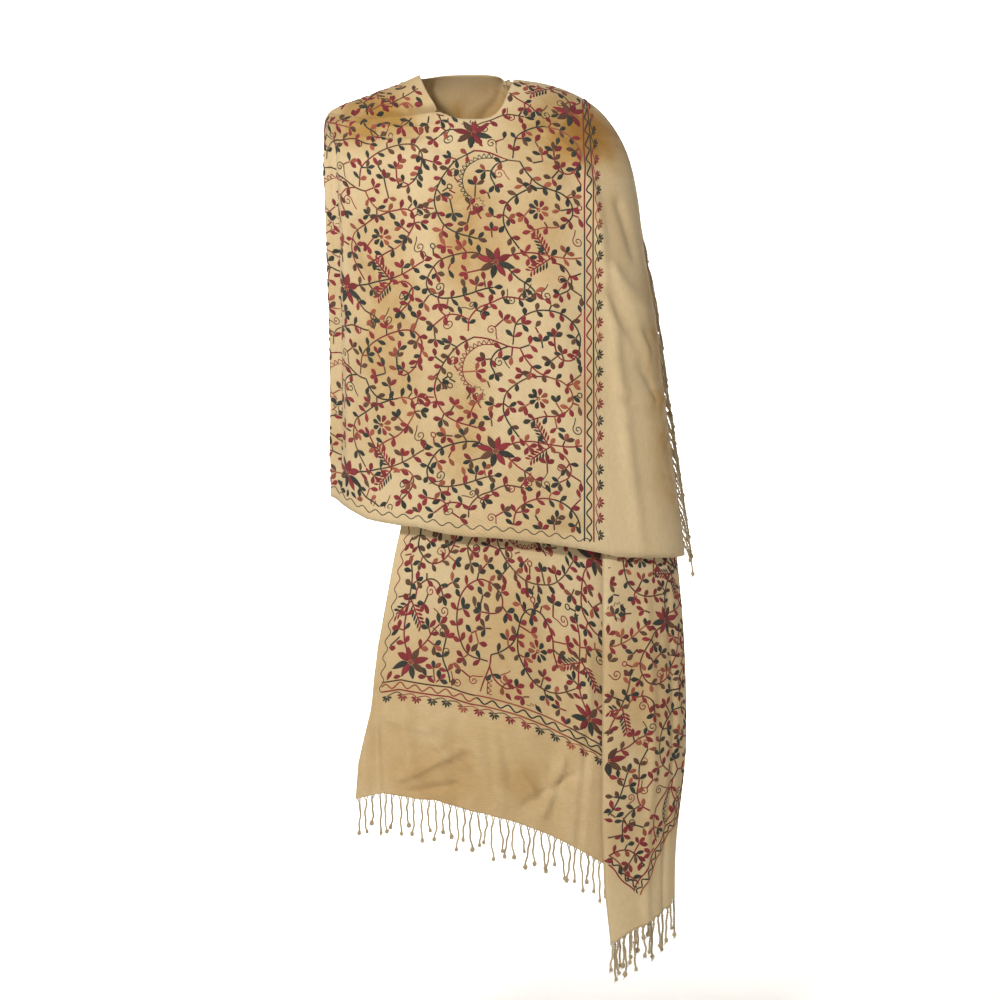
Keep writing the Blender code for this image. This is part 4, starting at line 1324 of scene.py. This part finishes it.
# ---------------------------------------------------------------- fringes
def twisted_strands(name, roots, facing, along, lay, material):
    """Strands of two twisted yarns, each with a knot near its tip and a few loose ends under it."""
    flat, patch = flat_patch(44, 5)
    share = flat[:, 0]
    around = np.pi * (flat[:, 1] + 1.0)
    mesh_data = bmesh.new()
    places, faces, tints, twist, count = [], [], [], [], 0
    chance = np.random.default_rng(11)
    for number, (root, normal, beside) in enumerate(zip(roots, facing, along)):
        length = FRINGE_LENGTH * (1.0 + 0.16 * np.sin(number * 2.4) + 0.08 * np.sin(number * 5.1))
        shade = chance.uniform(0.82, 1.12)
        knot = 0.90 + 0.03 * np.sin(number * 3.7)
        line_at = functools.partial(strand_line, root, beside, lay, number, length)
        line = line_at(share * knot)
        down = line_at(share * knot + 0.01) - line
        for yarn in (0, 1):
            gather = np.exp(-share / 0.07)[:, None] * beside * (0.0028 if yarn else -0.0028)
            turns = 2.0 * np.pi * (share * length / sizes().twist_pitch) + np.pi * yarn
            radius = sizes().yarn_radius * (1.0 - 0.15 * share)
            helix = np.cos(turns)[:, None] * beside + np.sin(turns)[:, None] * normal
            open_part = np.minimum(share / 0.12, 1.0)[:, None]
            centre = line + gather + helix * (radius * 0.85)[:, None] * open_part
            first = unit(np.cross(down, normal))
            second = unit(np.cross(down, first))
            taper = radius * np.clip(np.minimum(share * 44.0 + 0.35, (1.0 - share) * 44.0 + 0.02), 0.02, 1.0)
            ring = np.cos(around)[:, None] * first + np.sin(around)[:, None] * second
            places.append(centre + ring * taper[:, None])
            faces.append(patch + count)
            tints.append(np.tile([shade, shade, shade, 1.0], (len(flat), 1)))
            twist.append(np.stack([share * length, around * radius], axis=1))
            count += len(flat)
        middle = line_at(np.array([knot]))[0]
        ball = bmesh.ops.create_icosphere(mesh_data, subdivisions=2, radius=1.0)["verts"]
        size = sizes().yarn_radius * chance.uniform(2.1, 3.1)
        for vert in ball:
            bump = 1.0 + 0.16 * np.sin(vert.co.x * 4.0 + number) * np.cos(vert.co.z * 5.0)
            vert.co = middle + np.array(vert.co) * (size * bump) * np.array([1.0, 0.9, 1.15])
        tail = np.linspace(0.0, 1.0, 3)[:, None]
        low = line_at(np.array([1.0]))[0]
        for end in range(3):
            out = (end - 1) * 0.0011 * beside + normal * 0.0005 * np.sin(number + end)
            loose_end(mesh_data, middle + (low - middle + out * 1.8) * tail + out, sizes().yarn_radius * 0.55)
    return fringe_mesh(name, *map(np.concatenate, (places, faces, tints, twist)), mesh_data, material)


def strand_line(root, beside, lay, number, length, share):
    """Middle line of a strand at shares of its length: it hangs, sways and has small kinks."""
    kinks = np.sin(share * 5.5 + number * 2.1) * 0.0017 + np.sin(share * 17.0 + number * 4.3) * 0.0007
    kinks = kinks + 0.0026 * (1.0 if number % 2 else -1.0) * np.sin(number * 0.9) * share**2
    moved = lay(number, share, length)
    return root + moved + kinks[:, None] * np.minimum(share / 0.2, 1.0)[:, None] * beside


def loose_end(mesh_data, line, radius):
    """A short thread under the knot: a square section carried along its line."""
    made = bmesh.ops.create_circle(mesh_data, segments=4, radius=radius, cap_ends=True)["verts"]
    for vert in made:
        vert.co = line[0] + np.array(vert.co)
    face = next(face for face in made[0].link_faces)
    for place, size in zip(line[1:], (0.8, 0.25)):
        face = bmesh.ops.extrude_discrete_faces(mesh_data, faces=[face])["faces"][0]
        middle = np.mean([vert.co for vert in face.verts], axis=0)
        for vert in face.verts:
            vert.co = place + (np.array(vert.co) - middle) * size


def fringe_mesh(name, places, faces, tints, twist, extra, material):
    """Joins the yarns with the knots and loose ends."""
    mesh = bpy.data.meshes.new(name)
    extra.verts.index_update()
    more = np.array([vert.co for vert in extra.verts])
    extra_faces = [[vert.index + len(places) for vert in face.verts] for face in extra.faces]
    extra.free()
    every = np.concatenate([places, more])
    mesh.from_pydata(every.tolist(), [], faces.tolist() + extra_faces)
    shades = np.concatenate([tints, np.ones((len(more), 4)) * [0.95, 0.95, 0.95, 1.0]])
    colour_threads(mesh, shades, np.concatenate([twist, more[:, [2, 0]]]))
    piece = piece_from(name, mesh, material)
    return piece


def fringe_roots(edge):
    """Evenly spaced roots along a fringed edge, the cloth's normals there, and the way along it."""
    fine = np.linspace(0.0, 1.0, 1201)
    line = edge(fine, 0.0)
    run = run_along(line)
    places = np.interp((np.arange(FRINGE_STRANDS) + 0.5) / FRINGE_STRANDS * run[-1], run, fine)
    along = edge(np.clip(places + 0.002, 0, 1), 0.0) - edge(np.clip(places - 0.002, 0, 1), 0.0)
    out = edge(places, 0.004) - edge(places, 0.0)
    along = unit(along)
    return edge(places, -0.0012), unit(np.cross(along, out)), along, places


def hem_edge(place, out):
    return end_cloth(place, 2.0 + out / HANGING_LENGTH)


def hanging_lay(number, share, length):
    """Strands of the hem hang straight down, and sway a little."""
    sway = 0.0022 * np.sin(number * 1.9 + share * 2.6) * share
    out = 0.0012 * np.sin(number * 3.3) * share
    return np.stack([sway, out, -length * share], axis=-1)


def end_edge(place, out):
    row = HEM_ROW * place
    run = degree_run(row) * (read_edge(WRAP_END, row) - 180.0)
    return front_cloth(1.0 + out / run, ROLL_SHARE + (0.992 - ROLL_SHARE) * place)


def drooping_lay(places):
    """Strands of the front wrap's end leave it level and droop along the side of the arm."""

    def lay(number, share, length):
        row = HEM_ROW * places[number]
        angle = read_edge(WRAP_END, row)
        above = max(row - 0.3, 0.0)
        run = np.linalg.norm(form(angle, row + 0.3) - form(angle, above)) / (row + 0.3 - above)
        back = 0.58 - 0.09 * ease((row - 4.5) / 2.5) - 0.05 * ease((row - 9.8) / 1.2)
        down = 0.83 + 0.10 * ease((row - 4.0) / 2.5) + 0.02 * np.sin(number * 2.9)
        turned = back * length * share**0.85 / degree_run(row)
        lowered = down * length * share**1.15 / run * ease(row / 1.5 + 0.3)
        stand = (0.0090 + 0.0012 * np.sin(number * 2.3)) * ease((row - 4.5) / 2.5)
        lift = (0.0015 - 0.0035 * ease(row / 3.0) + 0.0010 * np.sin(number * 1.7)) * share
        lift = lift + stand * np.sin(0.62 * np.pi * share)
        return on_form(angle + turned, row + lowered, lift) - on_form(angle, row, np.zeros_like(share))

    return lay


# ---------------------------------------------------------------- materials
def linear(code):
    """Linear colour of an sRGB hex value, or of a colour property."""
    if isinstance(code, str):
        code = [int(code[place : place + 2], 16) / 255.0 for place in (1, 3, 5)]
        code = [value / 12.92 if value <= 0.04045 else ((value + 0.055) / 1.055) ** 2.4 for value in code]
    return np.array(code[:3])


def add_node(tree, kind, settings=None, **links):
    """Adds a node, sets its fields and inputs, and links the inputs that are given as outputs."""
    node = tree.nodes.new(kind)
    for name, value in (settings or {}).items():
        setattr(node, name, value)
    for name, value in links.items():
        socket = node.inputs[name.replace("_", " ")]
        if isinstance(value, bpy.types.NodeSocket):
            tree.links.new(value, socket)
        else:
            socket.default_value = value
    return node


def start_material(name, roughness, sheen):
    material = bpy.data.materials.new(name)
    material.use_nodes = True
    tree = material.node_tree
    shader = tree.nodes["Principled BSDF"]
    shader.inputs["Roughness"].default_value = roughness
    shader.inputs["Metallic"].default_value = 0.0
    shader.inputs["Sheen Weight"].default_value = sheen
    shader.inputs["Sheen Roughness"].default_value = 0.5
    shader.inputs["Specular IOR Level"].default_value = 0.25
    return material, tree, shader


def ramp(tree, factor, stops):
    node = add_node(tree, "ShaderNodeValToRGB", None, Fac=factor)
    elements = node.color_ramp.elements
    while len(elements) < len(stops):
        elements.new(0.5)
    for element, (position, colour) in zip(elements, stops):
        element.position = position
        element.color = (*np.broadcast_to(colour, 3), 1.0)
    return node.outputs["Color"]


def multiplied(tree, share, first, second):
    """The first colour darkened by the second one, for this share of it."""
    kind, settings = "ShaderNodeMixRGB", {"blend_type": "MULTIPLY"}
    return add_node(tree, kind, settings, Fac=share, Color1=first, Color2=second).outputs["Color"]


def calculated(tree, operation, first, second):
    node = add_node(tree, "ShaderNodeMath", {"operation": operation})
    tree.links.new(first, node.inputs[0])
    tree.links.new(second, node.inputs[1])
    return node.outputs[0]


def slanted_bands(tree, places, slant, scale, **more):
    """Even bands that run at a slant over the cloth or along a stitched line."""
    turned = add_node(tree, "ShaderNodeMapping", None, Vector=places, Rotation=(0.0, 0.0, slant))
    wave, settings = "ShaderNodeTexWave", {"bands_direction": "X"}
    return add_node(tree, wave, settings, Vector=turned.outputs["Vector"], Scale=scale, **more).outputs["Fac"]


def add_bump(tree, shader, height, strength, distance):
    bump = add_node(tree, "ShaderNodeBump", None, Strength=strength, Distance=distance, Height=height)
    tree.links.new(bump.outputs["Normal"], shader.inputs["Normal"])


AGED = np.array([0.90, 0.82, 0.71])  # what years of wear leave of the cloth's red, green and blue
# Bands at a scale of 1 are 0.314 m apart. The ribs are drawn 2.6 mm and the stitches 2.2 mm apart, which is
# coarser than the real ones, so that they show.
RIB_SCALE = 1.0 / 0.0013 / 3.14 / 2.0
STITCH_SCALE = 1.0 / 0.0011 / 3.14 / 2.0
# Soft, tan and uneven patches multiplied into the cloth. Inside the neck, on the tops of the shoulders and
# along the right edge of the plain end they are painted shade; on the left of the front wrap they are partly
# stain and partly painted shade; on the front and lower down they only darken the cloth in patches.
STAINS_AND_PAINTED_SHADE = [  # middle, reach each way, and how strong
    # partly stain, partly painted shade on the shadowed left of the front wrap
    ((-0.130, -0.115, -0.300), (0.075, 0.10, 0.260), 0.55),
    # darker patches on the front
    ((-0.010, -0.110, -0.180), (0.060, 0.10, 0.150), 0.65),
    ((-0.010, -0.110, -0.440), (0.050, 0.10, 0.120), 0.60),
    # painted shade inside the neck, on the reverse of the back
    ((0.000, 0.080, -0.030), (0.130, 0.08, 0.100), 1.00),
    ((0.040, 0.070, -0.020), (0.100, 0.09, 0.100), 1.00),
    # painted shade on the tops of both shoulders
    ((0.160, -0.040, -0.030), (0.120, 0.09, 0.090), 0.80),
    ((0.140, -0.095, -0.040), (0.140, 0.14, 0.090), 0.90),
    ((-0.140, -0.060, -0.015), (0.110, 0.14, 0.070), 1.00),
    # painted shade along the right edge of the plain end, which turns away from the light
    ((0.285, -0.040, -0.300), (0.058, 0.14, 0.380), 1.00),
    # darker tan patches lower down and on the front
    ((0.020, -0.110, -0.940), (0.340, 0.16, 0.300), 0.38),
    ((0.073, -0.118, -0.955), (0.050, 0.09, 0.045), 0.40),
    ((0.130, -0.128, -0.585), (0.045, 0.06, 0.022), 0.35),
    ((-0.050, -0.125, -0.330), (0.120, 0.10, 0.110), 0.18),
    ((0.105, -0.125, -0.160), (0.060, 0.08, 0.090), 0.28),
]


def wool_twill():
    """Wool and viscose twill, woven and washed: matt, faintly hairy, a little uneven in its dye, with tan
    patches that are partly stains and partly painted shade.
    """
    material, tree, shader = start_material("wool_twill", 0.88, 0.12)
    cloth = linear(colours().cloth)
    weave = add_node(tree, "ShaderNodeUVMap", {"uv_map": "weave"}).outputs["UV"]
    ribs = slanted_bands(tree, weave, 0.95, RIB_SCALE, Distortion=1.4, Detail=1.0, Detail_Scale=1.5)
    place = add_node(tree, "ShaderNodeTexCoord").outputs["Object"]
    broad = add_node(tree, "ShaderNodeTexNoise", None, Vector=place, Scale=5.0, Detail=3.0, Roughness=0.55)
    slub = add_node(tree, "ShaderNodeTexNoise", None, Vector=weave, Scale=160.0, Detail=3.0, Roughness=0.6)
    base = ramp(tree, broad.outputs["Fac"], [(0.32, cloth * AGED), (0.50, cloth), (0.70, cloth * 1.06)])
    fine = multiplied(tree, 0.30, base, ramp(tree, slub.outputs["Fac"], [(0.25, 0.72), (0.75, 1.12)]))
    colour = multiplied(tree, 0.22, fine, ramp(tree, ribs, [(0.0, 0.62), (1.0, 1.1)]))
    blotch = add_node(tree, "ShaderNodeTexNoise", None, Vector=place, Scale=26.0, Detail=3.0, Distortion=0.6)
    # tan patches darken the colour: stains, and painted shade in the neck, on the shoulders and along the
    # sides
    for middle, reach, depth in STAINS_AND_PAINTED_SHADE:
        moved = add_node(tree, "ShaderNodeMapping", {"vector_type": "TEXTURE"}, Vector=place, Location=middle,
                         Scale=reach).outputs["Vector"]
        ball = add_node(tree, "ShaderNodeTexGradient", {"gradient_type": "SPHERICAL"}, Vector=moved)
        broken = calculated(tree, "MULTIPLY", ball.outputs["Fac"], blotch.outputs["Fac"])
        patch = ramp(tree, broken, [(0.04, 0.0), (0.40, depth)])
        colour = multiplied(tree, patch, colour, (*linear(colours().stain_and_shade), 1.0))
    tree.links.new(colour, shader.inputs["Base Color"])
    add_bump(tree, shader, calculated(tree, "ADD", ribs, slub.outputs["Fac"]), 0.35, 0.0004)
    return material


def embroidery_wool():
    """Two-ply embroidery wool in chain stitch: matt with a soft sheen, each stitch a small slanted ridge."""
    material, tree, shader = start_material("embroidery_wool", 0.78, 0.10)
    tint = add_node(tree, "ShaderNodeAttribute", {"attribute_name": "thread"}).outputs["Color"]
    run = add_node(tree, "ShaderNodeUVMap", {"uv_map": "stitches"}).outputs["UV"]
    stitch = slanted_bands(tree, run, 0.5, STITCH_SCALE, Distortion=0.6, Detail=1.0)
    shade = ramp(tree, stitch, [(0.0, 0.62), (0.7, 1.15)])
    tree.links.new(multiplied(tree, 0.7, tint, shade), shader.inputs["Base Color"])
    add_bump(tree, shader, stitch, 0.6, 0.0004)
    return material


def fringe_yarn():
    """The cloth's own warp ends, twisted and knotted by hand: greyish beige, hairy, darker in the twist."""
    material, tree, shader = start_material("fringe_yarn", 0.90, 0.15)
    tint = add_node(tree, "ShaderNodeAttribute", {"attribute_name": "thread"}).outputs["Color"]
    run = add_node(tree, "ShaderNodeUVMap", {"uv_map": "stitches"}).outputs["UV"]
    fibre = add_node(tree, "ShaderNodeTexNoise", None, Vector=run, Scale=900.0, Detail=2.0)
    yarn = linear(colours().fringe)
    base = ramp(tree, fibre.outputs["Fac"], [(0.3, yarn * 0.72), (0.7, yarn * 1.15)])
    tree.links.new(multiplied(tree, 1.0, base, tint), shader.inputs["Base Color"])
    add_bump(tree, shader, fibre.outputs["Fac"], 0.5, 0.0003)
    return material


def pale_floor():
    """Matt paper of a studio roll: near white and even."""
    material, tree, shader = start_material("studio_paper", 0.95, 0.0)
    speck = add_node(tree, "ShaderNodeTexNoise", None, Scale=3.0)
    paper = linear(colours().floor)
    shade = ramp(tree, speck.outputs["Fac"], [(0.3, paper * 0.99), (0.7, paper)])
    tree.links.new(shade, shader.inputs["Base Color"])
    return material


@functools.lru_cache(maxsize=None)
def shared(maker):
    """Each material is made once."""
    return maker()


# ---------------------------------------------------------------- settings a user would change
def length_setting(name, description, default):
    return bpy.props.FloatProperty(
        name=name, description=description, default=default, unit="LENGTH", precision=5
    )


def place_setting(name, description, default):
    return bpy.props.FloatVectorProperty(
        name=name, description=description, default=default, subtype="XYZ", unit="LENGTH"
    )


def colour_setting(name, description, code):
    return bpy.props.FloatVectorProperty(
        name=name, description=description, default=tuple(linear(code)), subtype="COLOR", min=0.0, max=1.0
    )


class StoleSizes(bpy.types.PropertyGroup):
    """Sizes of the cloth, the thread and the yarn."""

    cloth_wall: length_setting("Cloth thickness", "Thickness of the twill", 0.0010)
    end_columns: bpy.props.IntProperty(
        name="Columns across the end", description="How fine the hanging end is", default=185, min=40, max=260
    )
    vine_width: length_setting("Stem width", "Width of a chain-stitched line", 0.0028)
    leaf_length: length_setting("Leaf length", "Length of a stitched leaf", 0.0136)
    leaf_width: length_setting("Leaf width", "Width of a stitched leaf", 0.0074)
    thread_lift: length_setting("Stitch height", "How far the stitches stand out of the cloth", 0.0008)
    yarn_radius: length_setting("Yarn radius", "Radius of one of the two yarns of a strand", 0.00125)
    twist_pitch: length_setting("Twist", "Length of one turn of a strand's twist", 0.0080)


class StoleColours(bpy.types.PropertyGroup):
    """Colours of the cloth, the threads and the floor."""

    cloth: colour_setting("Cloth", "Sandy beige of the twill", "#d2ba90")
    # tint of the tan patches, both the stains and the painted shade
    stain_and_shade: colour_setting("Stain", "Tint of the old stains", "#d6bb80")
    maroon: colour_setting("Maroon thread", "Dull crimson", "#7f2e31")
    charcoal: colour_setting("Dark thread", "Greenish charcoal", "#35362f")
    brown: colour_setting("Brown thread", "Walnut brown", "#5c4030")
    rust: colour_setting("Rust thread", "Faded brick", "#94503c")
    fringe: colour_setting("Fringe", "Greyish beige yarn", "#b8a583")
    floor: colour_setting("Floor", "Studio paper", "#f6f5f2")


class StoleStage(bpy.types.PropertyGroup):
    """Camera and the floor's height."""

    lens: bpy.props.FloatProperty(name="Lens", description="Focal length on a 36 mm sensor", default=77.14)
    camera_place: place_setting("Camera", "Where the camera stands", (0.035, -3.1124, -0.3424))
    target: place_setting("Target", "What the camera looks at", (0.035, 0.0, -0.56))
    floor_height: length_setting("Floor", "Height of the floor under the shoulders", -1.45)


# ---------------------------------------------------------------- operators
class STOLE_OT_wound_cloth(bpy.types.Operator):
    """Lay the cloth wound round the shoulders: the front wrap, the left shoulder and the back."""

    bl_idname = "stole.wound_cloth"
    bl_label = "Wound cloth"

    def execute(self, context):
        rows = even_rows()
        front_down = (rows[rows >= SHOULDER_ROW - 1e-9] - SHOULDER_ROW) / (HEM_ROW - SHOULDER_ROW)
        shoulder_down = rows[rows <= SHOULDER_ROW + 1e-9] / SHOULDER_ROW
        mesh_data = bmesh.new()
        lay_grid(mesh_data, front_cloth, np.linspace(0.0, 1.0, 221), front_down, 0.0, -0.78, -0.66)
        lay_grid(mesh_data, shoulder_cloth, np.linspace(0.0, 1.0, 41), shoulder_down, 0.0, -0.16, -0.12)
        lay_grid(mesh_data, back_cloth, np.linspace(0.0, 1.0, 125), rows / HEM_ROW, 0.81, -0.81, -0.66)
        bmesh.ops.remove_doubles(mesh_data, verts=mesh_data.verts, dist=0.00012)
        piece = cloth_piece("wound_cloth", mesh_data)
        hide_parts("front_wrap", "left_shoulder", "right_shoulder", "back_wrap")
        return {"FINISHED"}


class STOLE_OT_hanging_cloth(bpy.types.Operator):
    """Lay the end that hangs down in front, with the pleat that makes its cascade."""

    bl_idname = "stole.hanging_cloth"
    bl_label = "Hanging end"

    def execute(self, context):
        mesh_data = bmesh.new()
        down = np.concatenate([np.linspace(0.0, 1.0, 41), np.linspace(1.0, 2.0, 131)[1:]])
        lay_grid(mesh_data, end_cloth, end_columns(), down, 0.0, CLOTH_WIDTH, -0.50)
        piece = cloth_piece("hanging_cloth", mesh_data)
        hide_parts("front_end")
        return {"FINISHED"}


class STOLE_OT_wound_field(bpy.types.Operator):
    """Sew the flowers, leaves and stems on the wound cloth."""

    bl_idname = "stole.wound_field"
    bl_label = "Field of the wound cloth"

    def execute(self, context):
        for name, alongs, seed in (("front_embroidery", (0, 1), 5), ("back_embroidery", (2, 3, 4, 5), 8)):
            work = Needlework(seed)
            for origin in repeats(alongs, (-1, 0, 1, 2)):
                stitch_repeat(work, origin, on_wrap)
            for flower in NECK_FLOWERS if 0 in alongs else ():
                work.large_flower(on_wrap(np.array(flower)))
            work.fill(keep_on_wrap)
            sew(name, work, lay_on_wrap, keep_on_wrap, shared(embroidery_wool))
        return {"FINISHED"}


class STOLE_OT_wound_borders(bpy.types.Operator):
    """Sew the end border of the front and the zigzags beside the two selvedges."""

    bl_idname = "stole.wound_borders"
    bl_label = "Borders of the wound cloth"

    def execute(self, context):
        work = Needlework(3)
        border_path(straight((0.0, 0.012), (0.0, 0.76)), (MAROON, BROWN, CHARCOAL), work, 1)
        chart = wrap_chart()
        side_line(straight((-0.008, SIDE_LINE), (1.22, SIDE_LINE)), work)
        sew("border_embroidery", work, lay_on_wrap, keep_to_top, shared(embroidery_wool))
        upper = Needlework(4)
        over = chart.along[(chart.sweep < 178.0) & (chart.sweep > 50.0) & (np.abs(chart.sweep_x) < 0.075)]
        neck = np.stack([over, np.interp(over, chart.along, chart.neck) - 0.014], axis=1)
        side_line(even_path(neck, PATH_STEP), upper)
        sew("neck_embroidery", upper, lay_on_wrap, keep_anywhere, shared(embroidery_wool))
        return {"FINISHED"}


class STOLE_OT_hanging_embroidery(bpy.types.Operator):
    """Sew the field and the borders of the hanging end and its cascade."""

    bl_idname = "stole.hanging_embroidery"
    bl_label = "Embroidery of the hanging end"

    def execute(self, context):
        work = Needlework(21)
        for origin in repeats((5, 6, 7, 8), (0, 1, 2)):
            stitch_repeat(work, origin, on_end)
        work.fill(keep_on_end)
        sew("hanging_embroidery", work, lay_on_end, keep_on_end, shared(embroidery_wool))
        cascade = Needlework(22)
        for origin in repeats((4, 5, 6, 7, 8), (-1, 0, 1)):
            stitch_repeat(cascade, origin, on_cascade)
        cascade.fill(keep_on_cascade)
        sew("cascade_embroidery", cascade, lay_on_cascade, keep_on_cascade, shared(embroidery_wool))
        borders = Needlework(23)
        line_up = BORDER_AT_END + BORDER_BAND
        border_path(straight((0.014, line_up), (0.425, line_up)), (BROWN, RUST, MAROON), borders, -1)
        side_line(straight((SIDE_LINE, 0.150), (SIDE_LINE, 0.42)), borders)
        borders.line(straight((0.384, 0.113), (0.388, 0.102)), CHARCOAL, 0.0020)  # a stray dark thread
        sew("hanging_border_embroidery", borders, lay_on_end, keep_anywhere, shared(embroidery_wool))
        edge = Needlework(24)
        cascade_border(edge)
        sew("cascade_border_embroidery", edge, lay_on_cascade, keep_cascade_border, shared(embroidery_wool))
        return {"FINISHED"}


class STOLE_OT_fringes(bpy.types.Operator):
    """Twist and knot the strands of both fringed ends."""

    bl_idname = "stole.fringes"
    bl_label = "Fringes"

    def execute(self, context):
        *edge, _ = fringe_roots(hem_edge)
        front = twisted_strands("front_strands", *edge, hanging_lay, shared(fringe_yarn))
        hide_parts("fringe_front")
        *edge, places = fringe_roots(end_edge)
        side = twisted_strands("side_strands", *edge, drooping_lay(places), shared(fringe_yarn))
        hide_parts("fringe_side")
        return {"FINISHED"}


class STOLE_OT_declare_cut(bpy.types.Operator):
    """Takes no step: nothing about the cut of the cloth is stated here."""

    bl_idname = "stole.declare_cut"
    bl_label = "Cut of the cloth"

    def execute(self, context):
        return {"FINISHED"}


PAPER_FRONT, PAPER_BACK = -4.0, 2.0  # Y where the studio paper starts and where it bends up
PAPER_BEND = 1.6  # radius of that bend
PAPER_WALL = 6.0  # height of the paper over its bend
Lamp = namedtuple("Lamp", "name place aim size power spread")
LAMPS = [
    Lamp("key_light", (-0.75, -2.1, 0.70), (0.04, 0.0, -0.50), 0.30, 50.0, 180.0),
    Lamp("right_light", (1.3, -3.0, -0.4), (0.1, 0.0, -0.6), 1.40, 4.5, 180.0),
    Lamp("left_backdrop_light", (-3.0, 1.5, 1.0), (-0.6, 3.3, -0.8), 2.4, 115.0, 98.0),
    Lamp("right_backdrop_light", (3.0, 1.5, 1.0), (0.6, 3.3, -0.8), 2.4, 115.0, 98.0),
]


class STOLE_OT_stage(bpy.types.Operator):
    """Set up the pale floor, the soft lights and the camera."""

    bl_idname = "stole.stage"
    bl_label = "Stage"

    def execute(self, context):
        stage = context.scene.stole_stage
        mesh_data = bmesh.new()
        bmesh.ops.create_grid(mesh_data, x_segments=1, y_segments=24, size=6.0)
        for vert in mesh_data.verts:
            along = (vert.co.y + 6.0) / 12.0
            bend = max(along - 0.5, 0.0) * 2.0
            turn = min(bend * 3.0, 1.0) * np.pi / 2.0
            back = PAPER_FRONT + min(along, 0.5) * 2.0 * (PAPER_BACK - PAPER_FRONT)
            back = back + np.sin(turn) * PAPER_BEND
            up = (1.0 - np.cos(turn)) * PAPER_BEND + max(bend - 1.0 / 3.0, 0.0) * 1.5 * PAPER_WALL
            vert.co = (vert.co.x, back, stage.floor_height + up)
        mesh = bpy.data.meshes.new("studio_roll")
        mesh_data.to_mesh(mesh)
        mesh_data.free()
        mesh.shade_smooth()
        mesh.materials.append(shared(pale_floor))
        roll = bpy.data.objects.new("studio_roll", mesh)
        context.scene.collection.objects.link(roll)
        for lamp in LAMPS:
            area = bpy.data.lights.new(lamp.name, "AREA")
            area.energy = lamp.power
            area.size = lamp.size
            area.spread = np.radians(lamp.spread)
            light = bpy.data.objects.new(lamp.name, area)
            context.scene.collection.objects.link(light)
            aim_at(light, lamp.place, lamp.aim)
        context.scene.view_settings.view_transform = "Standard"
        world = bpy.data.worlds.new("studio")
        world.use_nodes = True
        sky = world.node_tree.nodes["Background"]
        sky.inputs["Color"].default_value = (1.0, 0.94, 0.86, 1.0)
        sky.inputs["Strength"].default_value = 0.25
        context.scene.world = world
        lens = bpy.data.cameras.new("camera")
        lens.lens = stage.lens
        lens.sensor_width = 36.0
        lens.sensor_fit = "HORIZONTAL"
        camera = bpy.data.objects.new("camera", lens)
        context.scene.collection.objects.link(camera)
        aim_at(camera, stage.camera_place, stage.target)
        context.scene.camera = camera
        return {"FINISHED"}


def aim_at(thing, place, target):
    thing.location = place
    direction = mathutils.Vector(target) - mathutils.Vector(place)
    thing.rotation_euler = direction.to_track_quat("-Z", "Y").to_euler()


class STOLE_PT_panel(bpy.types.Panel):
    """Lists the steps that build the stole."""

    bl_label = "Stole"
    bl_idname = "STOLE_PT_panel"
    bl_space_type = "VIEW_3D"
    bl_region_type = "UI"
    bl_category = "Stole"

    def draw(self, context):
        for group in (context.scene.stole_sizes, context.scene.stole_colours, context.scene.stole_stage):
            box = self.layout.box()
            for name in group.__annotations__:
                box.prop(group, name)
        for step in STEPS:
            self.layout.operator(step.bl_idname)


STEPS = (
    STOLE_OT_stage,
    STOLE_OT_wound_cloth,
    STOLE_OT_hanging_cloth,
    STOLE_OT_wound_field,
    STOLE_OT_wound_borders,
    STOLE_OT_hanging_embroidery,
    STOLE_OT_fringes,
    STOLE_OT_declare_cut,
)
GROUPS = {"stole_sizes": StoleSizes, "stole_colours": StoleColours, "stole_stage": StoleStage}


def register():
    for group in GROUPS.values():
        bpy.utils.register_class(group)
    for name, group in GROUPS.items():
        setattr(bpy.types.Scene, name, bpy.props.PointerProperty(type=group))
    for step in STEPS:
        bpy.utils.register_class(step)
    bpy.utils.register_class(STOLE_PT_panel)


def unregister():
    bpy.utils.unregister_class(STOLE_PT_panel)
    for step in reversed(STEPS):
        bpy.utils.unregister_class(step)
    for name, group in GROUPS.items():
        delattr(bpy.types.Scene, name)
        bpy.utils.unregister_class(group)


def main():
    register()
    for step in STEPS:
        group, name = step.bl_idname.split(".")
        getattr(getattr(bpy.ops, group), name)()


if __name__ == "__main__":
    main()
